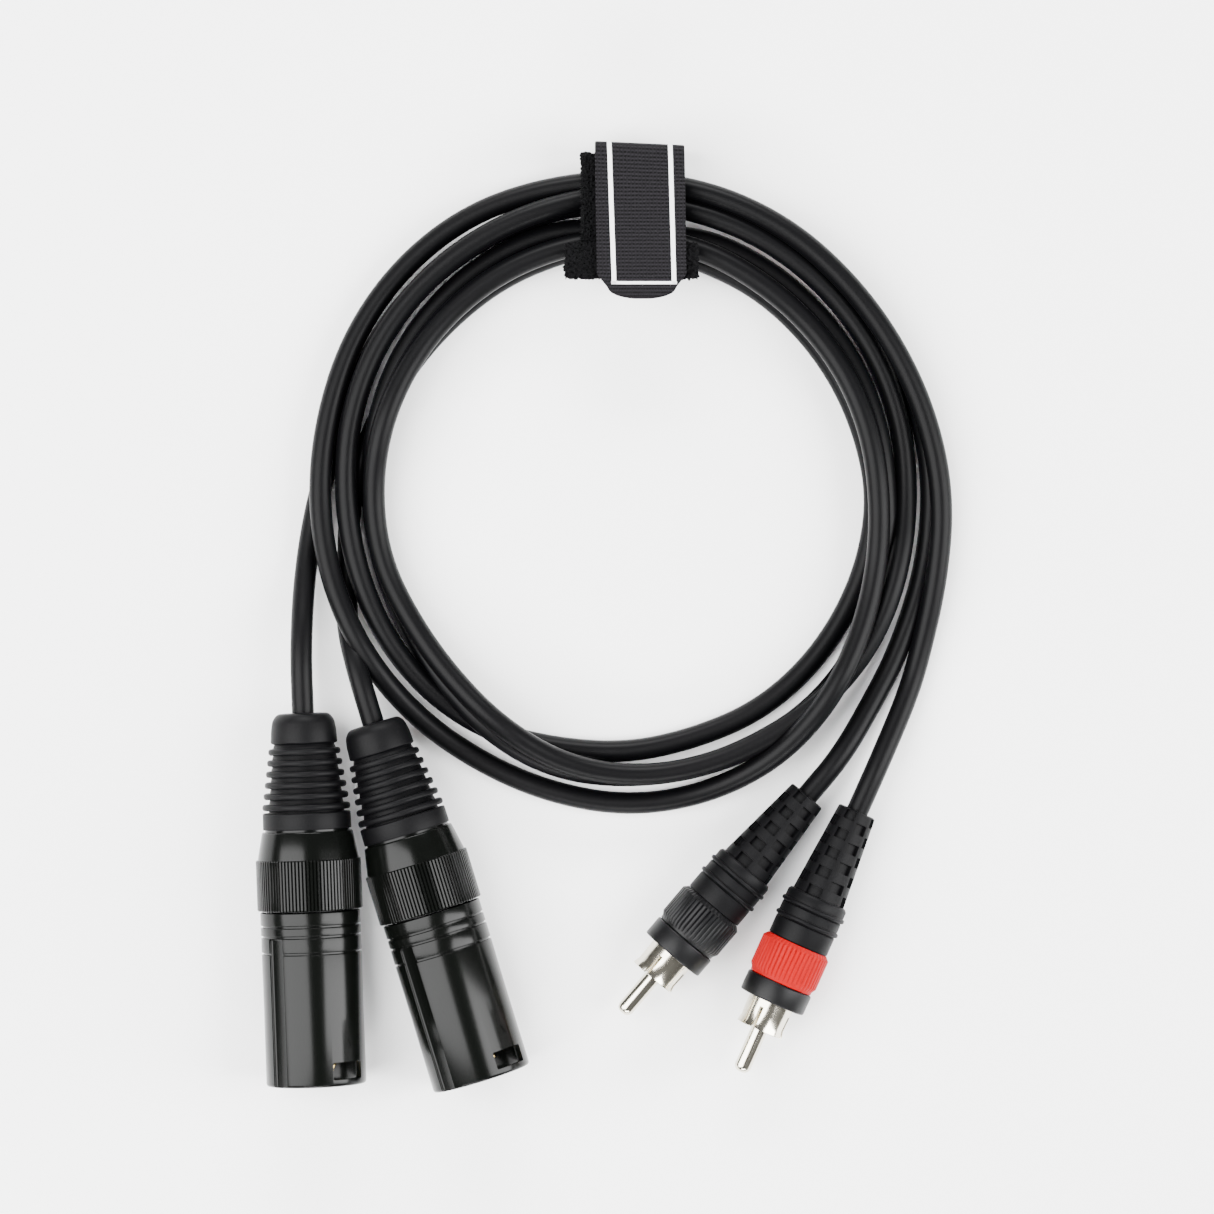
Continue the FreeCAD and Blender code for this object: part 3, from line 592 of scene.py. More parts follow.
@dataclass
class ThreePinPlug:
    """Rubber boot, knurled back nut, grooved barrel and contacts of one three-pin plug.

    Sizes are in millimetres and degrees, and heights are measured from the cable end.
    """

    side: str
    cable_bore: float = 2.25
    boot_length: float = 22.0
    nose_length: float = 5.9
    ribs: int = 6
    rib_pitch: float = 2.1
    rib_width: float = 1.25
    seam: float = 0.4
    cone_length: float = 5.3
    knurl_length: float = 9.6
    knurl_radius: float = 10.0
    flutes: int = 92
    flute_depth: float = 0.3
    barrel_radius: float = 9.5
    barrel_bore: float = 8.2
    barrel_length: float = 70.6
    barrel_waist: float = 56.0
    insert_seat: float = 46.7
    thread_bore: float = 7.7
    groove_bands: tuple[float, ...] = (2.5, 1.5, 2.7)
    groove_depth: float = 0.4
    groove_width: float = 0.44
    skirt_radius: float = 8.0
    skirt_length: float = 0.6
    chuck_bore: float = 6.9
    keyway_turn: float = 43.0
    latch_turn: float = -45.0
    latch_setback: float = 1.3
    latch_length: float = 3.3
    arch_width: float = 7.0
    arch_length: float = 8.0
    arch_depth: float = 0.18
    mark_radius: float = 1.1

    @property
    def nut_end(self) -> float:
        """Where the back nut meets the barrel."""
        return self.boot_length + self.seam + self.cone_length + self.knurl_length

    @property
    def place(self) -> PlugPlace:
        """Where the plug lies."""
        return PlugPlace(f"{self.side}_nut_turn", self.nut_end)

    def build(self) -> None:
        """Models and dresses every visible piece of the plug."""
        matrix = self.place.matrix()
        nut_body = f"{self.side}_nut"
        for piece, finish, slot, body, node in (
            (self.boot(), [BOOT_RUBBER], Slot.BOOT_RUBBER, nut_body, "boot"),
            (self.back_nut(), [BLACK_LACQUER, LIT_KNURL_LACQUER], Slot.GLOSS_BLACK, nut_body, "back_nut"),
            (self.barrel(), [BLACK_LACQUER], Slot.GLOSS_BLACK, "cables", "barrel"),
        ):
            settle(piece, matrix)
            dress(piece, finish, body, [f"{self.side}_xlr_{node}"])
        for number in (1, 2, 3):
            dress_node(f"{self.side}_xlr_pin_{number}", GOLD_FLASH)
        for node, finish in (
            ("insert", NYLON),
            ("chuck", NYLON),
            ("ground_clip", TINNED_STEEL),
            ("core_wires", CORE_RED),
            ("cable_end", CABLE_JACKET),
        ):
            dress_node(f"{self.side}_xlr_{node}", finish)

    def boot(self) -> Piece:
        """Domed nose, waist with rounded ribs and a plain collar.

        Returns:
            The piece on its own axis.
        """
        bore = self.cable_bore
        rings: list[Ring] = [(bore, 0.3, 0.0), (bore + 0.9, 0.0, 0.25), (4.9, 0.1, 0.5), (5.9, 1.3, 0.6)]
        rings += [(6.2, 3.2, 0.0), (6.35, self.nose_length - 0.3, 0.2), (5.7, self.nose_length, 0.0)]
        for rib in range(self.ribs):
            start = self.nose_length + 0.75 + rib * self.rib_pitch
            core = 6.0 + 0.22 * rib
            top = 6.85 + 0.3 * rib
            rings += [(core, start, 0.0), (top, start + 0.05, 0.42)]
            rings += [(top, start + self.rib_width - 0.05, 0.42), (core, start + self.rib_width, 0.0)]
        collar = self.nose_length + 12.9
        rings += [(7.2, collar, 0.0), (8.35, collar + 0.05, 0.2), (8.4, self.boot_length, 0.15)]
        rings += [(bore + 3.2, self.boot_length, 0.0), (bore + 3.2, 16.0, 0.0), (bore, 16.0, 0.0)]
        return lathe(f"{self.side}_boot_looks", rings)

    def back_nut(self) -> Piece:
        """Gloss cone and a band of straight knurling.

        Returns:
            The piece on its own axis.
        """
        start = self.boot_length + self.seam
        cone_end = start + self.cone_length
        top = self.knurl_radius
        rings: list[Ring] = [
            (5.4, start - self.skirt_length, 0.0),
            (self.skirt_radius, start - self.skirt_length, 0.0),
            (self.skirt_radius, start, 0.0),
            (8.6, start + 0.02, 0.25),
            (9.45, cone_end - 0.9, 0.6),
            (9.6, cone_end, 0.0),
            (top - 0.15, cone_end + 0.02, 0.0),
            (top, cone_end + 0.2, 0.0),
            (top, self.nut_end - 0.2, 0.0),
            (top - 0.15, self.nut_end - 0.02, 0.0),
            (9.3, self.nut_end, 0.0),
            (self.chuck_bore, self.nut_end, 0.0),
            (self.chuck_bore, cone_end, 0.0),
        ]
        piece = lathe(f"{self.side}_back_nut_looks", rings, segments=4 * self.flutes)
        flute(piece, self.flutes, top - 0.16, (cone_end, self.nut_end), self.flute_depth)
        # The knurled band takes the second finish, the lacquer in a lighter colour that is painted highlight.
        for face in piece.data.polygons:
            middle = face.center / MM
            if math.hypot(middle.x, middle.y) > 9.6 and middle.z > cone_end:
                face.material_index = 1
        return piece

    def barrel(self) -> Piece:
        """Barrel with three turned grooves, a keyway channel, and an arched latch mark over its window.

        Returns:
            The piece on its own axis.
        """
        radius = self.barrel_radius
        start = self.nut_end + 0.25
        floor = radius - self.groove_depth
        rings: list[Ring] = [
            (self.thread_bore, start, 0.0),
            (radius - 0.35, start, 0.0),
            (radius, start + 0.12, 0.1),
        ]
        edge = start
        for band in self.groove_bands:
            edge += band
            rings += [(radius, edge, 0.12), (floor, edge + 0.06, 0.0)]
            edge += self.groove_width
            rings += [(floor, edge - 0.06, 0.0), (radius, edge, 0.12)]
        rings += [
            (radius - 0.05, self.barrel_waist, 0.0),
            (radius, self.barrel_length - 0.02, 0.55),
            (self.barrel_bore + 0.15, self.barrel_length, 0.15),
            (self.barrel_bore, self.barrel_length - 1.0, 0.0),
            (self.barrel_bore, self.insert_seat, 0.0),
            (self.thread_bore, self.insert_seat, 0.0),
        ]
        piece = lathe(f"{self.side}_barrel_looks", rings, segments=128)
        self.cut_keyway(piece)
        self.cut_latch(piece)
        return piece

    def cut_keyway(self, piece: Piece) -> None:
        """Cuts the long channel, with a round end between the grooves.

        Args:
            piece: the turned barrel on its own axis.
        """
        size = Vector((3.6, 2.4, 40.0))
        centre = Vector((0, self.barrel_radius + 0.45, 42.3 + size.z / 2))
        carve(piece, block("keyway_cutter", size, centre, math.radians(self.keyway_turn), 0.5))

    def cut_latch(self, piece: Piece) -> None:
        """Sinks the arched latch mark with its small triangle and cuts the window near the mouth.

        Args:
            piece: the turned barrel on its own axis.
        """
        turn = math.radians(self.latch_turn)
        foot = self.barrel_length - self.latch_setback - self.latch_length
        top = foot - self.arch_length + self.arch_width / 2
        reach = self.barrel_radius - self.arch_depth
        arch = radial_prism("arch_cutter", 48, self.arch_width / 2, reach, top, turn, foot + 0.1)
        carve(piece, arch)
        mark = reach - self.arch_depth
        carve(piece, radial_prism("triangle_cutter", 3, self.mark_radius, mark, foot - 3.4, turn))
        window = Vector((self.arch_width, 4.0, self.latch_length))
        centre = Vector((0, self.barrel_bore + 1.2, foot + self.latch_length / 2))
        carve(piece, block("window_cutter", window, centre, turn, 0.25))


def radial_prism(
    name: str, sides: int, radius: float, reach: float, height: float, turn: float, foot: float | None = None
) -> Piece:
    """A prism that stands out from the axis, used as a cutter, in millimetres.

    Args:
        name: the piece's name.
        sides: how many sides it has.
        radius: its radius.
        reach: how far from the axis it starts.
        height: height of its middle along the axis.
        turn: its angle about the axis in radians.
        foot: where the half towards the mouth is drawn out to and cut off square.

    Returns:
        The cutter.
    """
    deselect_all()
    thickness = 3.0
    bpy.ops.mesh.primitive_cylinder_add(vertices=sides, radius=radius * MM, depth=thickness * MM)
    piece = bpy.context.object
    piece.name = name
    piece.matrix_world = Matrix.Rotation(math.radians(-90), 4, "X")
    bpy.ops.object.transform_apply(location=True, rotation=True, scale=True)
    if foot is not None:
        bpy.ops.object.mode_set(mode="EDIT")
        pick(piece, Element.VERT, lambda vert: vert.co.z > TOLERANCE)
        bpy.ops.transform.resize(value=(1, 1, 0), center_override=(0, 0, (foot - height) * MM))
        bpy.ops.object.mode_set(mode="OBJECT")
    shift = Matrix.Translation((0, (reach + thickness / 2) * MM, height * MM))
    piece.matrix_world = Matrix.Rotation(turn, 4, "Z") @ shift
    bpy.ops.object.transform_apply(location=True, rotation=True, scale=True)
    return piece


def flute(piece: Piece, flutes: int, least_radius: float, span: tuple[float, float], depth: float) -> None:
    """Sinks every fourth line of a turned band to make straight knurling.

    Args:
        piece: a turned piece whose rings have four sides to a flute.
        flutes: how many grooves go round.
        least_radius: only points this far from the axis, in millimetres, are moved.
        span: lowest and highest height of the band in millimetres.
        depth: how far the grooves go in, in millimetres.
    """
    steps = 4 * flutes

    def in_groove(vert: bmesh.types.BMVert) -> bool:
        """Says whether a point is on the bottom line of a groove.

        Args:
            vert: a point of the turned band.

        Returns:
            True on every fourth line, inside the span and on the outside.
        """
        step = round(math.atan2(vert.co.x, vert.co.y) / (2 * math.pi) * steps) % 4
        in_span = span[0] * MM - TOLERANCE < vert.co.z < span[1] * MM + TOLERANCE
        return step == 0 and in_span and math.hypot(vert.co.x, vert.co.y) > least_radius * MM

    select_only(piece)
    bpy.ops.object.mode_set(mode="EDIT")
    pick(piece, Element.VERT, in_groove)
    scale = 1 - depth / (least_radius + 0.1)
    bpy.ops.transform.resize(value=(scale, scale, 1), center_override=(0, 0, 0))
    bpy.ops.object.mode_set(mode="OBJECT")


@dataclass
class PhonoPlug:
    """Boot, knurled ring, flange, slotted shell and centre pin of one phono plug.

    Sizes are in millimetres, and heights are measured from the cable end.
    """

    colour: str
    ring_finish: Finish
    ring_slot: Slot
    cable_bore: float = 2.2
    tail_length: float = 18.0
    boot_length: float = 27.6
    tail_radius: float = 3.7
    tail_end_radius: float = 5.2
    rows: int = 9
    slot_depth: float = 0.75
    slot_angle: float = 35.0
    rib_starts: tuple[float, ...] = (2.0, 4.9)
    rib_height: float = 0.4
    spigot_radius: float = 5.0
    spigot_length: float = 2.4
    clamp_bore: float = 3.4
    clamp_start: float = 19.0
    rib_band_radius: float = 6.0
    ring_radius: float = 6.75
    ring_end: float = 35.1
    ring_bore: float = 5.1
    ring_seat_radius: float = 5.55
    ring_seat: float = 30.1
    ring_chamfer: float = 0.8
    flutes: int = 46
    flange_radius: float = 6.5
    flange_start: float = 35.8
    flange_end: float = 39.8
    shell_radius: float = 4.45
    shell_end: float = 45.5
    pin_radius: float = 1.6
    pin_end: float = 54.4

    @property
    def place(self) -> PlugPlace:
        """Where the plug lies."""
        return PlugPlace(f"{self.colour}_ring_turn", self.ring_end)

    def build(self) -> None:
        """Models and dresses every visible piece of the plug."""
        matrix = self.place.matrix()
        for piece, finish, slot, body, node in (
            (self.boot(), BOOT_RUBBER, Slot.BOOT_RUBBER, f"{self.colour}_boot", "boot"),
            (self.ring(), self.ring_finish, self.ring_slot, f"{self.colour}_ring", "ring"),
            (self.flange(), BLACK_ANODISED, Slot.DARK_METAL, "cables", "flange"),
            (self.shell(), NICKEL, Slot.NICKEL, "cables", "shell"),
            (self.pin(), NICKEL, Slot.NICKEL, "cables", "center_pin"),
        ):
            settle(piece, matrix)
            dress(piece, [finish], body, [f"{self.colour}_rca_{node}"])
        for node, finish in (
            ("insulator", ACETAL),
            ("cable_clamp", TINNED_STEEL),
            ("cable_end", CABLE_JACKET),
            ("core_wire", CORE_RED),
        ):
            dress_node(f"{self.colour}_rca_{node}", finish)

    def boot(self) -> Piece:
        """Tapered strain relief with staggered slots, then a band with thin rounded ribs.

        Returns:
            The piece on its own axis.
        """
        bore = self.cable_bore
        pitch = self.tail_length / self.rows
        rings: list[Ring] = [(bore, 0.2, 0.0), (self.tail_radius - 0.3, 0.0, 0.0)]
        for row in range(self.rows + 1):
            radius = self.tail_radius + (self.tail_end_radius - self.tail_radius) * row / self.rows
            rings.append((radius, row * pitch + (0.2 if row == 0 else 0.0), 0.0))
        band = self.rib_band_radius
        rings += [(band - 0.35, self.tail_length + 0.1, 0.0), (band, self.tail_length + 0.6, 0.0)]
        top = band + self.rib_height
        for rib_start in self.rib_starts:
            start = self.tail_length + rib_start
            rings += [(band, start, 0.0), (top, start + 0.12, 0.25), (top, start + 0.75, 0.25)]
            rings += [(band, start + 0.87, 0.0), (band - 0.15, start + 1.0, 0.0), (band, start + 1.2, 0.0)]
        spigot_end = self.boot_length + self.spigot_length
        rings += [(band, self.boot_length, 0.2), (self.spigot_radius, self.boot_length, 0.0)]
        rings += [(self.spigot_radius, spigot_end, 0.0), (self.clamp_bore, spigot_end, 0.0)]
        rings += [(self.clamp_bore, self.clamp_start, 0.0), (bore, self.clamp_start, 0.0)]
        piece = lathe(f"{self.colour}_phono_boot_looks", rings, segments=72)
        self.sink_slots(piece, pitch)
        return piece

    def sink_slots(self, piece: Piece, pitch: float) -> None:
        """Sinks four slots in each row of the taper, each row turned half a step from the last.

        Args:
            piece: the turned boot on its own axis.
            pitch: height of one row in millimetres.
        """
        select_only(piece)
        bpy.ops.object.mode_set(mode="EDIT")

        def in_slot(face: bmesh.types.BMFace) -> bool:
            """Says whether a slot covers a face.

            Args:
                face: a face of the boot.

            Returns:
                True for a face on the taper's outside and within a slot's angle.
            """
            middle = face.calc_center_median()
            radius = math.hypot(middle.x, middle.y)
            outside = face.normal.x * middle.x + face.normal.y * middle.y > 0.5 * radius
            if not outside or not 0.3 * MM < middle.z < self.tail_length * MM:
                return False
            row = int(middle.z / (pitch * MM))
            angle = math.degrees(math.atan2(middle.y, middle.x)) + 45 * (row % 2) + 360
            return angle % 90 < self.slot_angle

        pick(piece, Element.FACE, in_slot)
        sink = {"value": -self.slot_depth * MM}
        bpy.ops.mesh.extrude_region_shrink_fatten(TRANSFORM_OT_shrink_fatten=sink)
        bpy.ops.object.mode_set(mode="OBJECT")

    def ring(self) -> Piece:
        """Knurled ring nut with chamfered ends and a short plain collar.

        Returns:
            The piece on its own axis.
        """
        top = self.ring_radius
        start = self.boot_length + 0.1
        rings: list[Ring] = [
            (self.ring_bore, start, 0.0),
            (top - 0.75, start, 0.0),
            (top, start + self.ring_chamfer, 0.0),
            (top, self.ring_end - self.ring_chamfer, 0.0),
            (6.25, self.ring_end, 0.0),
            (6.2, self.ring_end + 0.6, 0.15),
            (self.ring_seat_radius, self.ring_end + 0.6, 0.0),
            (self.ring_seat_radius, self.ring_seat, 0.0),
            (self.ring_bore, self.ring_seat, 0.0),
        ]
        piece = lathe(f"{self.colour}_ring_looks", rings, segments=4 * self.flutes)
        flute(piece, self.flutes, top - 0.1, (start + 0.7, self.ring_end - 0.7), 0.28)
        return piece

    def flange(self) -> Piece:
        """Plain turned flange with soft edges.

        Returns:
            The piece on its own axis.
        """
        rings: list[Ring] = [
            (5.5, self.flange_start - 0.3, 0.0),
            (5.5, self.flange_start, 0.0),
            (self.flange_radius, self.flange_start + 0.02, 0.3),
            (self.flange_radius, self.flange_end - 0.02, 0.35),
            (self.shell_radius, self.flange_end, 0.0),
            (self.shell_radius, self.flange_end - 1.5, 0.0),
        ]
        return lathe(f"{self.colour}_flange_looks", rings)

    def shell(self) -> Piece:
        """Thin outer contact with a curled lip, split into four petals.

        Returns:
            The piece on its own axis.
        """
        out = self.shell_radius
        inner = out - 0.3
        start = self.flange_end - 1.4
        rings: list[Ring] = [
            (inner, start, 0.0),
            (out, start, 0.0),
            (out - 0.05, self.flange_end + 2.5, 0.0),
            (out - 0.12, self.shell_end - 1.4, 0.0),
            (out + 0.12, self.shell_end - 0.35, 0.2),
            (out + 0.2, self.shell_end, 0.1),
            (inner + 0.2, self.shell_end, 0.0),
            (inner - 0.12, self.shell_end - 1.2, 0.0),
        ]
        piece = lathe(f"{self.colour}_shell_looks", rings, segments=96)
        for turn in (20, 110):
            size = Vector((0.8, 3 * out, 4.6))
            centre = Vector((0, 0, self.shell_end - size.z / 2 + 0.3))
            carve(piece, block("petal_cutter", size, centre, math.radians(turn), 0.0))
        return piece

    def pin(self) -> Piece:
        """Centre pin with a round nose.

        Returns:
            The piece on its own axis.
        """
        radius = self.pin_radius
        start = self.flange_end + 0.5
        rings: list[Ring] = [
            (0.02, start - 5.6, 0.0),
            (1.2, start - 5.6, 0.0),
            (1.2, start, 0.0),
            (radius, start, 0.0),
            (radius, self.pin_end - 1.3, 0.0),
        ]
        for step in range(1, 6):
            angle = math.radians(15 * step)
            nose = (0.25 + (radius - 0.25) * math.cos(angle), self.pin_end - 1.3 + 1.3 * math.sin(angle), 0.0)
            rings.append(nose)
        rings.append((0.02, self.pin_end, 0.0))
        return lathe(f"{self.colour}_pin_looks", rings, segments=48)


# ---------------------------------------------------------------- cables


@dataclass
class Turns:
    """The coiled part of a cable, as stations every 15 degrees, going clockwise seen from above.

    Args:
        start: azimuth of the first station in degrees.
        stations: (radius, height) of the cable's centre at each station, in millimetres.
    """

    start: float
    stations: Sequence[tuple[float, float]]
    step: float = 15.0

    def points(self) -> list[Vector]:
        """Works out the control points, set out so that the smooth line passes the stations.

        Returns:
            The points in metres.
        """
        outset = 1 / math.cos(math.radians(self.step) / 2)
        points = []
        for count, (radius, height) in enumerate(self.stations):
            azimuth = math.radians(self.start - self.step * count)
            lift = strap_lift(azimuth)
            across = Vector((math.cos(azimuth), math.sin(azimuth), 0)) * (radius * outset)
            points.append((across + UP * (height + lift)) * MM)
        return points


def strap_lift(azimuth: float) -> float:
    """Says how far the strap's lower layer lifts the cables.

    Args:
        azimuth: where along the coil, in radians.

    Returns:
        The lift in millimetres.
    """
    away = abs(math.degrees(azimuth) % 360 - 90)
    fade = max(0.0, away - LIFT_REACH) / LIFT_FADE
    return STRAP_LIFT * max(0.0, 1 - fade**2)


@dataclass
class Cable:
    """One cable from its three-pin plug's boot, round the coil, to its phono plug's boot.

    Args:
        name: the cord's name.
        plug: the three-pin plug it starts from.
        phono: the phono plug it ends in.
        lead_in: points from the first plug to the coil, in millimetres.
        turns: the coiled part.
        lead_out: points from the coil to the second plug, in millimetres.
        length: the whole length in metres, not used.
        nodes: the CAD nodes it stands for.
        diameter: thickness of the jacket in millimetres.
    """

    name: str
    plug: ThreePinPlug
    phono: PhonoPlug
    lead_in: Sequence[tuple[float, float, float]]
    turns: Turns
    lead_out: Sequence[tuple[float, float, float]]
    length: float
    nodes: Sequence[str]
    diameter: float = 4.2

    def build(self) -> None:
        inside = 4.0
        points = [self.plug.place.point(inside), self.plug.place.point(0.0)]
        points += [Vector(point) * MM for point in self.lead_in]
        points += self.turns.points()
        points += [Vector(point) * MM for point in self.lead_out]
        points += [self.phono.place.point(0.0), self.phono.place.point(inside)]
        curve = bpy.data.curves.new(self.name, "CURVE")
        curve.dimensions = "3D"
        curve.bevel_depth = self.diameter / 2 * MM
        curve.bevel_resolution = 6
        curve.resolution_u = 8
        curve.use_fill_caps = True
        line = curve.splines.new("NURBS")
        line.points.add(len(points) - 1)
        for knot, point in zip(line.points, points):
            knot.co = (*point, 1.0)
        line.order_u = 3
        line.use_endpoint_u = True
        piece = bpy.data.objects.new(self.name, curve)
        bpy.context.scene.collection.objects.link(piece)
        curve.materials.append(CABLE_JACKET.material())
        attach(piece, "cables")
        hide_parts(*self.nodes)
        self.plug.place.point(0.0)
        log.info("%s: %d points", self.name, len(points))


FIRST_TURNS = Turns(
    165,
    [
        # under the second cable at the left, then out under the strap
        (56.8, 2.1), (56.7, 2.1), (56.6, 2.1), (56.5, 2.2), (56.3, 2.6), (55.8, 3.6), (55.3, 4.8),
        (54.8, 5.0), (54.2, 4.6), (53.7, 4.2), (53.1, 3.4), (52.4, 3.4),
        (52.7, 6.0), (53.4, 6.2), (53.5, 6.3), (53.0, 6.3), (53.3, 6.3), (53.4, 6.3), (52.5, 7.8),
        (50.2, 10.4), (48.4, 8.4), (48.0, 6.3), (48.9, 6.3), (49.0, 7.2),
        # second turn, innermost at the left
        (48.9, 10.2), (48.8, 8.6), (48.8, 7.2), (48.8, 6.4), (48.7, 6.2), (48.6, 6.2), (48.5, 5.8),
        (47.3, 6.2), (46.8, 6.6), (46.7, 7.9), (46.7, 9.0), (46.9, 9.4),
        (48.3, 8.0), (50.5, 9.2), (53.7, 11.4), (56.8, 6.6), (58.4, 2.4), (59.0, 2.1), (58.5, 2.1),
        (58.2, 2.1), (58.6, 4.6), (58.9, 9.4), (59.1, 7.6), (59.2, 6.4),
        # last half turn, outermost
        (59.6, 5.2), (60.7, 4.0), (61.4, 3.2), (61.5, 3.0), (60.4, 3.4), (59.6, 4.2), (59.2, 5.8),
        (58.5, 6.3), (57.5, 7.0), (57.3, 7.0), (57.9, 6.4), (59.1, 5.8),
        (60.1, 5.0), (62.9, 2.8),
    ],
)

SECOND_TURNS = Turns(
    180,
    [
        # under the first cable at the left
        (53.3, 2.1), (50.6, 2.1), (49.0, 2.1), (48.1, 2.1), (48.0, 2.1), (47.9, 2.1), (49.0, 2.1),
        (50.8, 2.1), (50.2, 2.1), (49.6, 2.4), (49.1, 4.0), (48.6, 5.0),
        (48.4, 5.2), (50.0, 3.2), (51.9, 2.1), (53.1, 2.1), (53.4, 2.1), (53.4, 2.1), (53.6, 2.1),
        (53.9, 3.2), (52.4, 6.4), (50.1, 4.6), (49.4, 2.2), (49.0, 2.1),
        # second turn, crossing outwards at the left and inwards under the strap
        (49.4, 2.6), (50.1, 6.2), (51.1, 5.0), (51.7, 4.0), (52.2, 2.6), (52.3, 2.1), (50.0, 2.1),
        (46.6, 2.1), (46.2, 2.1), (45.6, 2.1), (45.5, 2.1), (45.8, 2.1),
        (46.7, 2.1), (46.6, 2.1), (46.6, 2.1), (47.0, 2.1), (47.5, 2.1), (47.6, 2.1), (48.8, 2.1),
        (49.9, 2.1), (52.2, 2.1), (53.4, 4.2), (53.9, 6.2), (53.9, 6.3),
        # last half turn
        (54.2, 6.3), (55.2, 6.3), (56.1, 6.3), (56.4, 6.3), (56.6, 6.3), (56.7, 6.2), (57.3, 4.6),
        (57.9, 2.4), (57.6, 2.1), (57.3, 2.1), (56.9, 2.1), (57.4, 2.1),
        (57.4, 2.1), (57.6, 2.1), (58.7, 2.2),
    ],
)


# ---------------------------------------------------------------- strap


@dataclass
class Strap:
    """Hook-and-loop strap: pile band and head, woven outer turn and flap, printed border.

    Sizes are in millimetres. Left and right are places along X, edges, root, tip and foot along Y.
    """

    band_left: float = -9.5
    band_right: float = 7.5
    head_left: float = -12.6
    head_right: float = 12.8
    flap_left: float = -6.9
    flap_right: float = 10.1
    inner_edge: float = 41.6
    outer_edge: float = 65.2
    top: float = 12.2
    corner: float = 4.0
    thickness: float = 1.3
    woven_thickness: float = 1.0
    flap_root: float = 63.6
    flap_tip: float = 37.0
    flap_height: float = 14.15
    flap_bend: float = 2.2
    flap_lean: float = 0.45
    border_inset: float = 2.3
    border_width: float = 0.85
    border_foot: float = 40.2
    border_lean: float = 0.95
    print_thickness: float = 0.08
    print_gap: float = 0.03
    tip_shoulder: float = 41.7
    tip_cheek: float = 39.0
    tip_narrowing: float = 0.25
    fold_tilt: float = 0.045
    pile_size: float = 0.4
    pile_height: float = 1.7

    def build(self) -> None:
        """Models and dresses the strap's layers."""
        self.build_band()
        self.build_head()
        self.build_flap()

    def ribbon(
        self, name: str, route: Sequence[Vector], left: float, right: float, thickness: float
    ) -> Piece:
        """A flat band of cloth along a route in the Y-Z plane, with its own UV map in millimetres.

        Args:
            name: the piece's name.
            route: (y, z) points of the band's middle line, in millimetres.
            left: lowest X in millimetres.
            right: highest X in millimetres.
            thickness: how thick the cloth is, in millimetres.

        Returns:
            The band as a solid mesh.
        """
        columns = 18
        deselect_all()
        bpy.ops.mesh.primitive_grid_add(x_subdivisions=columns, y_subdivisions=len(route) - 1, size=1)
        piece = bpy.context.object
        piece.name = name
        lengths = [0.0]
        for before, after in zip(route, route[1:]):
            lengths.append(lengths[-1] + (after - before).length)
        mesh = piece.data
        layer = mesh.uv_layers.new(name="cloth")
        places = {}
        for vert in mesh.vertices:
            share = vert.co.x + 0.5
            row = round((vert.co.y + 0.5) * (len(route) - 1))
            x = left + (right - left) * share
            places[vert.index] = (x, lengths[row])
            vert.co = (x * MM, route[row].x * MM, route[row].y * MM)
        for loop in mesh.loops:
            layer.data[loop.index].uv = places[loop.vertex_index]
        apply_modifier(piece, "SOLIDIFY", thickness=thickness * MM, offset=0.0)
        apply_modifier(piece, "BEVEL", width=0.3 * MM, segments=2, limit_method="ANGLE")
        return piece

    def loop_route(self, inset: float) -> list[Vector]:
        """Works out the middle line of a rounded loop round the cables.

        Args:
            inset: how far inside the loop's outer size the line runs, in millimetres.

        Returns:
            (y, z) points in millimetres, the first repeated at the end.
        """
        low_y, high_y = self.inner_edge + inset, self.outer_edge - inset
        low_z, high_z = inset, self.top - inset
        bend = max(0.8, self.corner - inset)
        corners = (
            (high_y - bend, low_z + bend, -90),
            (high_y - bend, high_z - bend, 0),
            (low_y + bend, high_z - bend, 90),
            (low_y + bend, low_z + bend, 180),
        )
        route = []
        for y, z, start in corners:
            for step in range(7):
                angle = math.radians(start + 15 * step)
                route.append(Vector((y + bend * math.cos(angle), z + bend * math.sin(angle))))
        route.append(route[0].copy())
        return route

    def build_band(self) -> None:
        """The pile side that runs right round the cables."""
        route = self.loop_route(self.thickness / 2 + 0.2)
        band = self.ribbon("strap_band_looks", route, self.band_left, self.band_right, self.thickness)
        roughen(band, self.pile_size, self.pile_height)
        dress(band, [LOOP_PILE], "cables", ["strap_band"])

    def build_head(self) -> None:
        """The wide pile head that lies across the inner edge."""
        places = ((47.7, 12.5), (46.2, 12.8), (44.6, 12.8), (43.0, 12.6), (41.8, 12.2), (41.0, 11.4))
        route = [Vector(place) for place in places]
        head = self.ribbon("strap_head_looks", route, self.head_left, self.head_right, 1.0)
        roughen(head, self.pile_size, self.pile_height)
        dress(head, [LOOP_PILE], "cables", ["strap_head"])

    def woven_route(self) -> list[Vector]:
        """Works out the woven run's middle line: up the outer side, over the edge and to the flap's tip.

        Returns:
            (y, z) points in millimetres.
        """
        wall = self.outer_edge + self.woven_thickness / 2 + 0.05
        bend = self.flap_bend
        rise = [Vector((wall, height)) for height in (2.6, 4.4, 6.2, 8.0, self.flap_height - bend)]
        for step in range(1, 8):
            angle = math.radians(90 * step / 8)
            across = wall - bend + bend * math.cos(angle)
            rise.append(Vector((across, self.flap_height - bend + bend * math.sin(angle))))
        rows = 48
        rise_height, droop = 0.2, 0.6
        start = wall - bend
        for row in range(rows + 1):
            share = row / rows
            sag = rise_height * math.sin(math.pi * share) - droop * share**3
            rise.append(Vector((start - (start - self.flap_tip) * share, self.flap_height + sag)))
        return rise

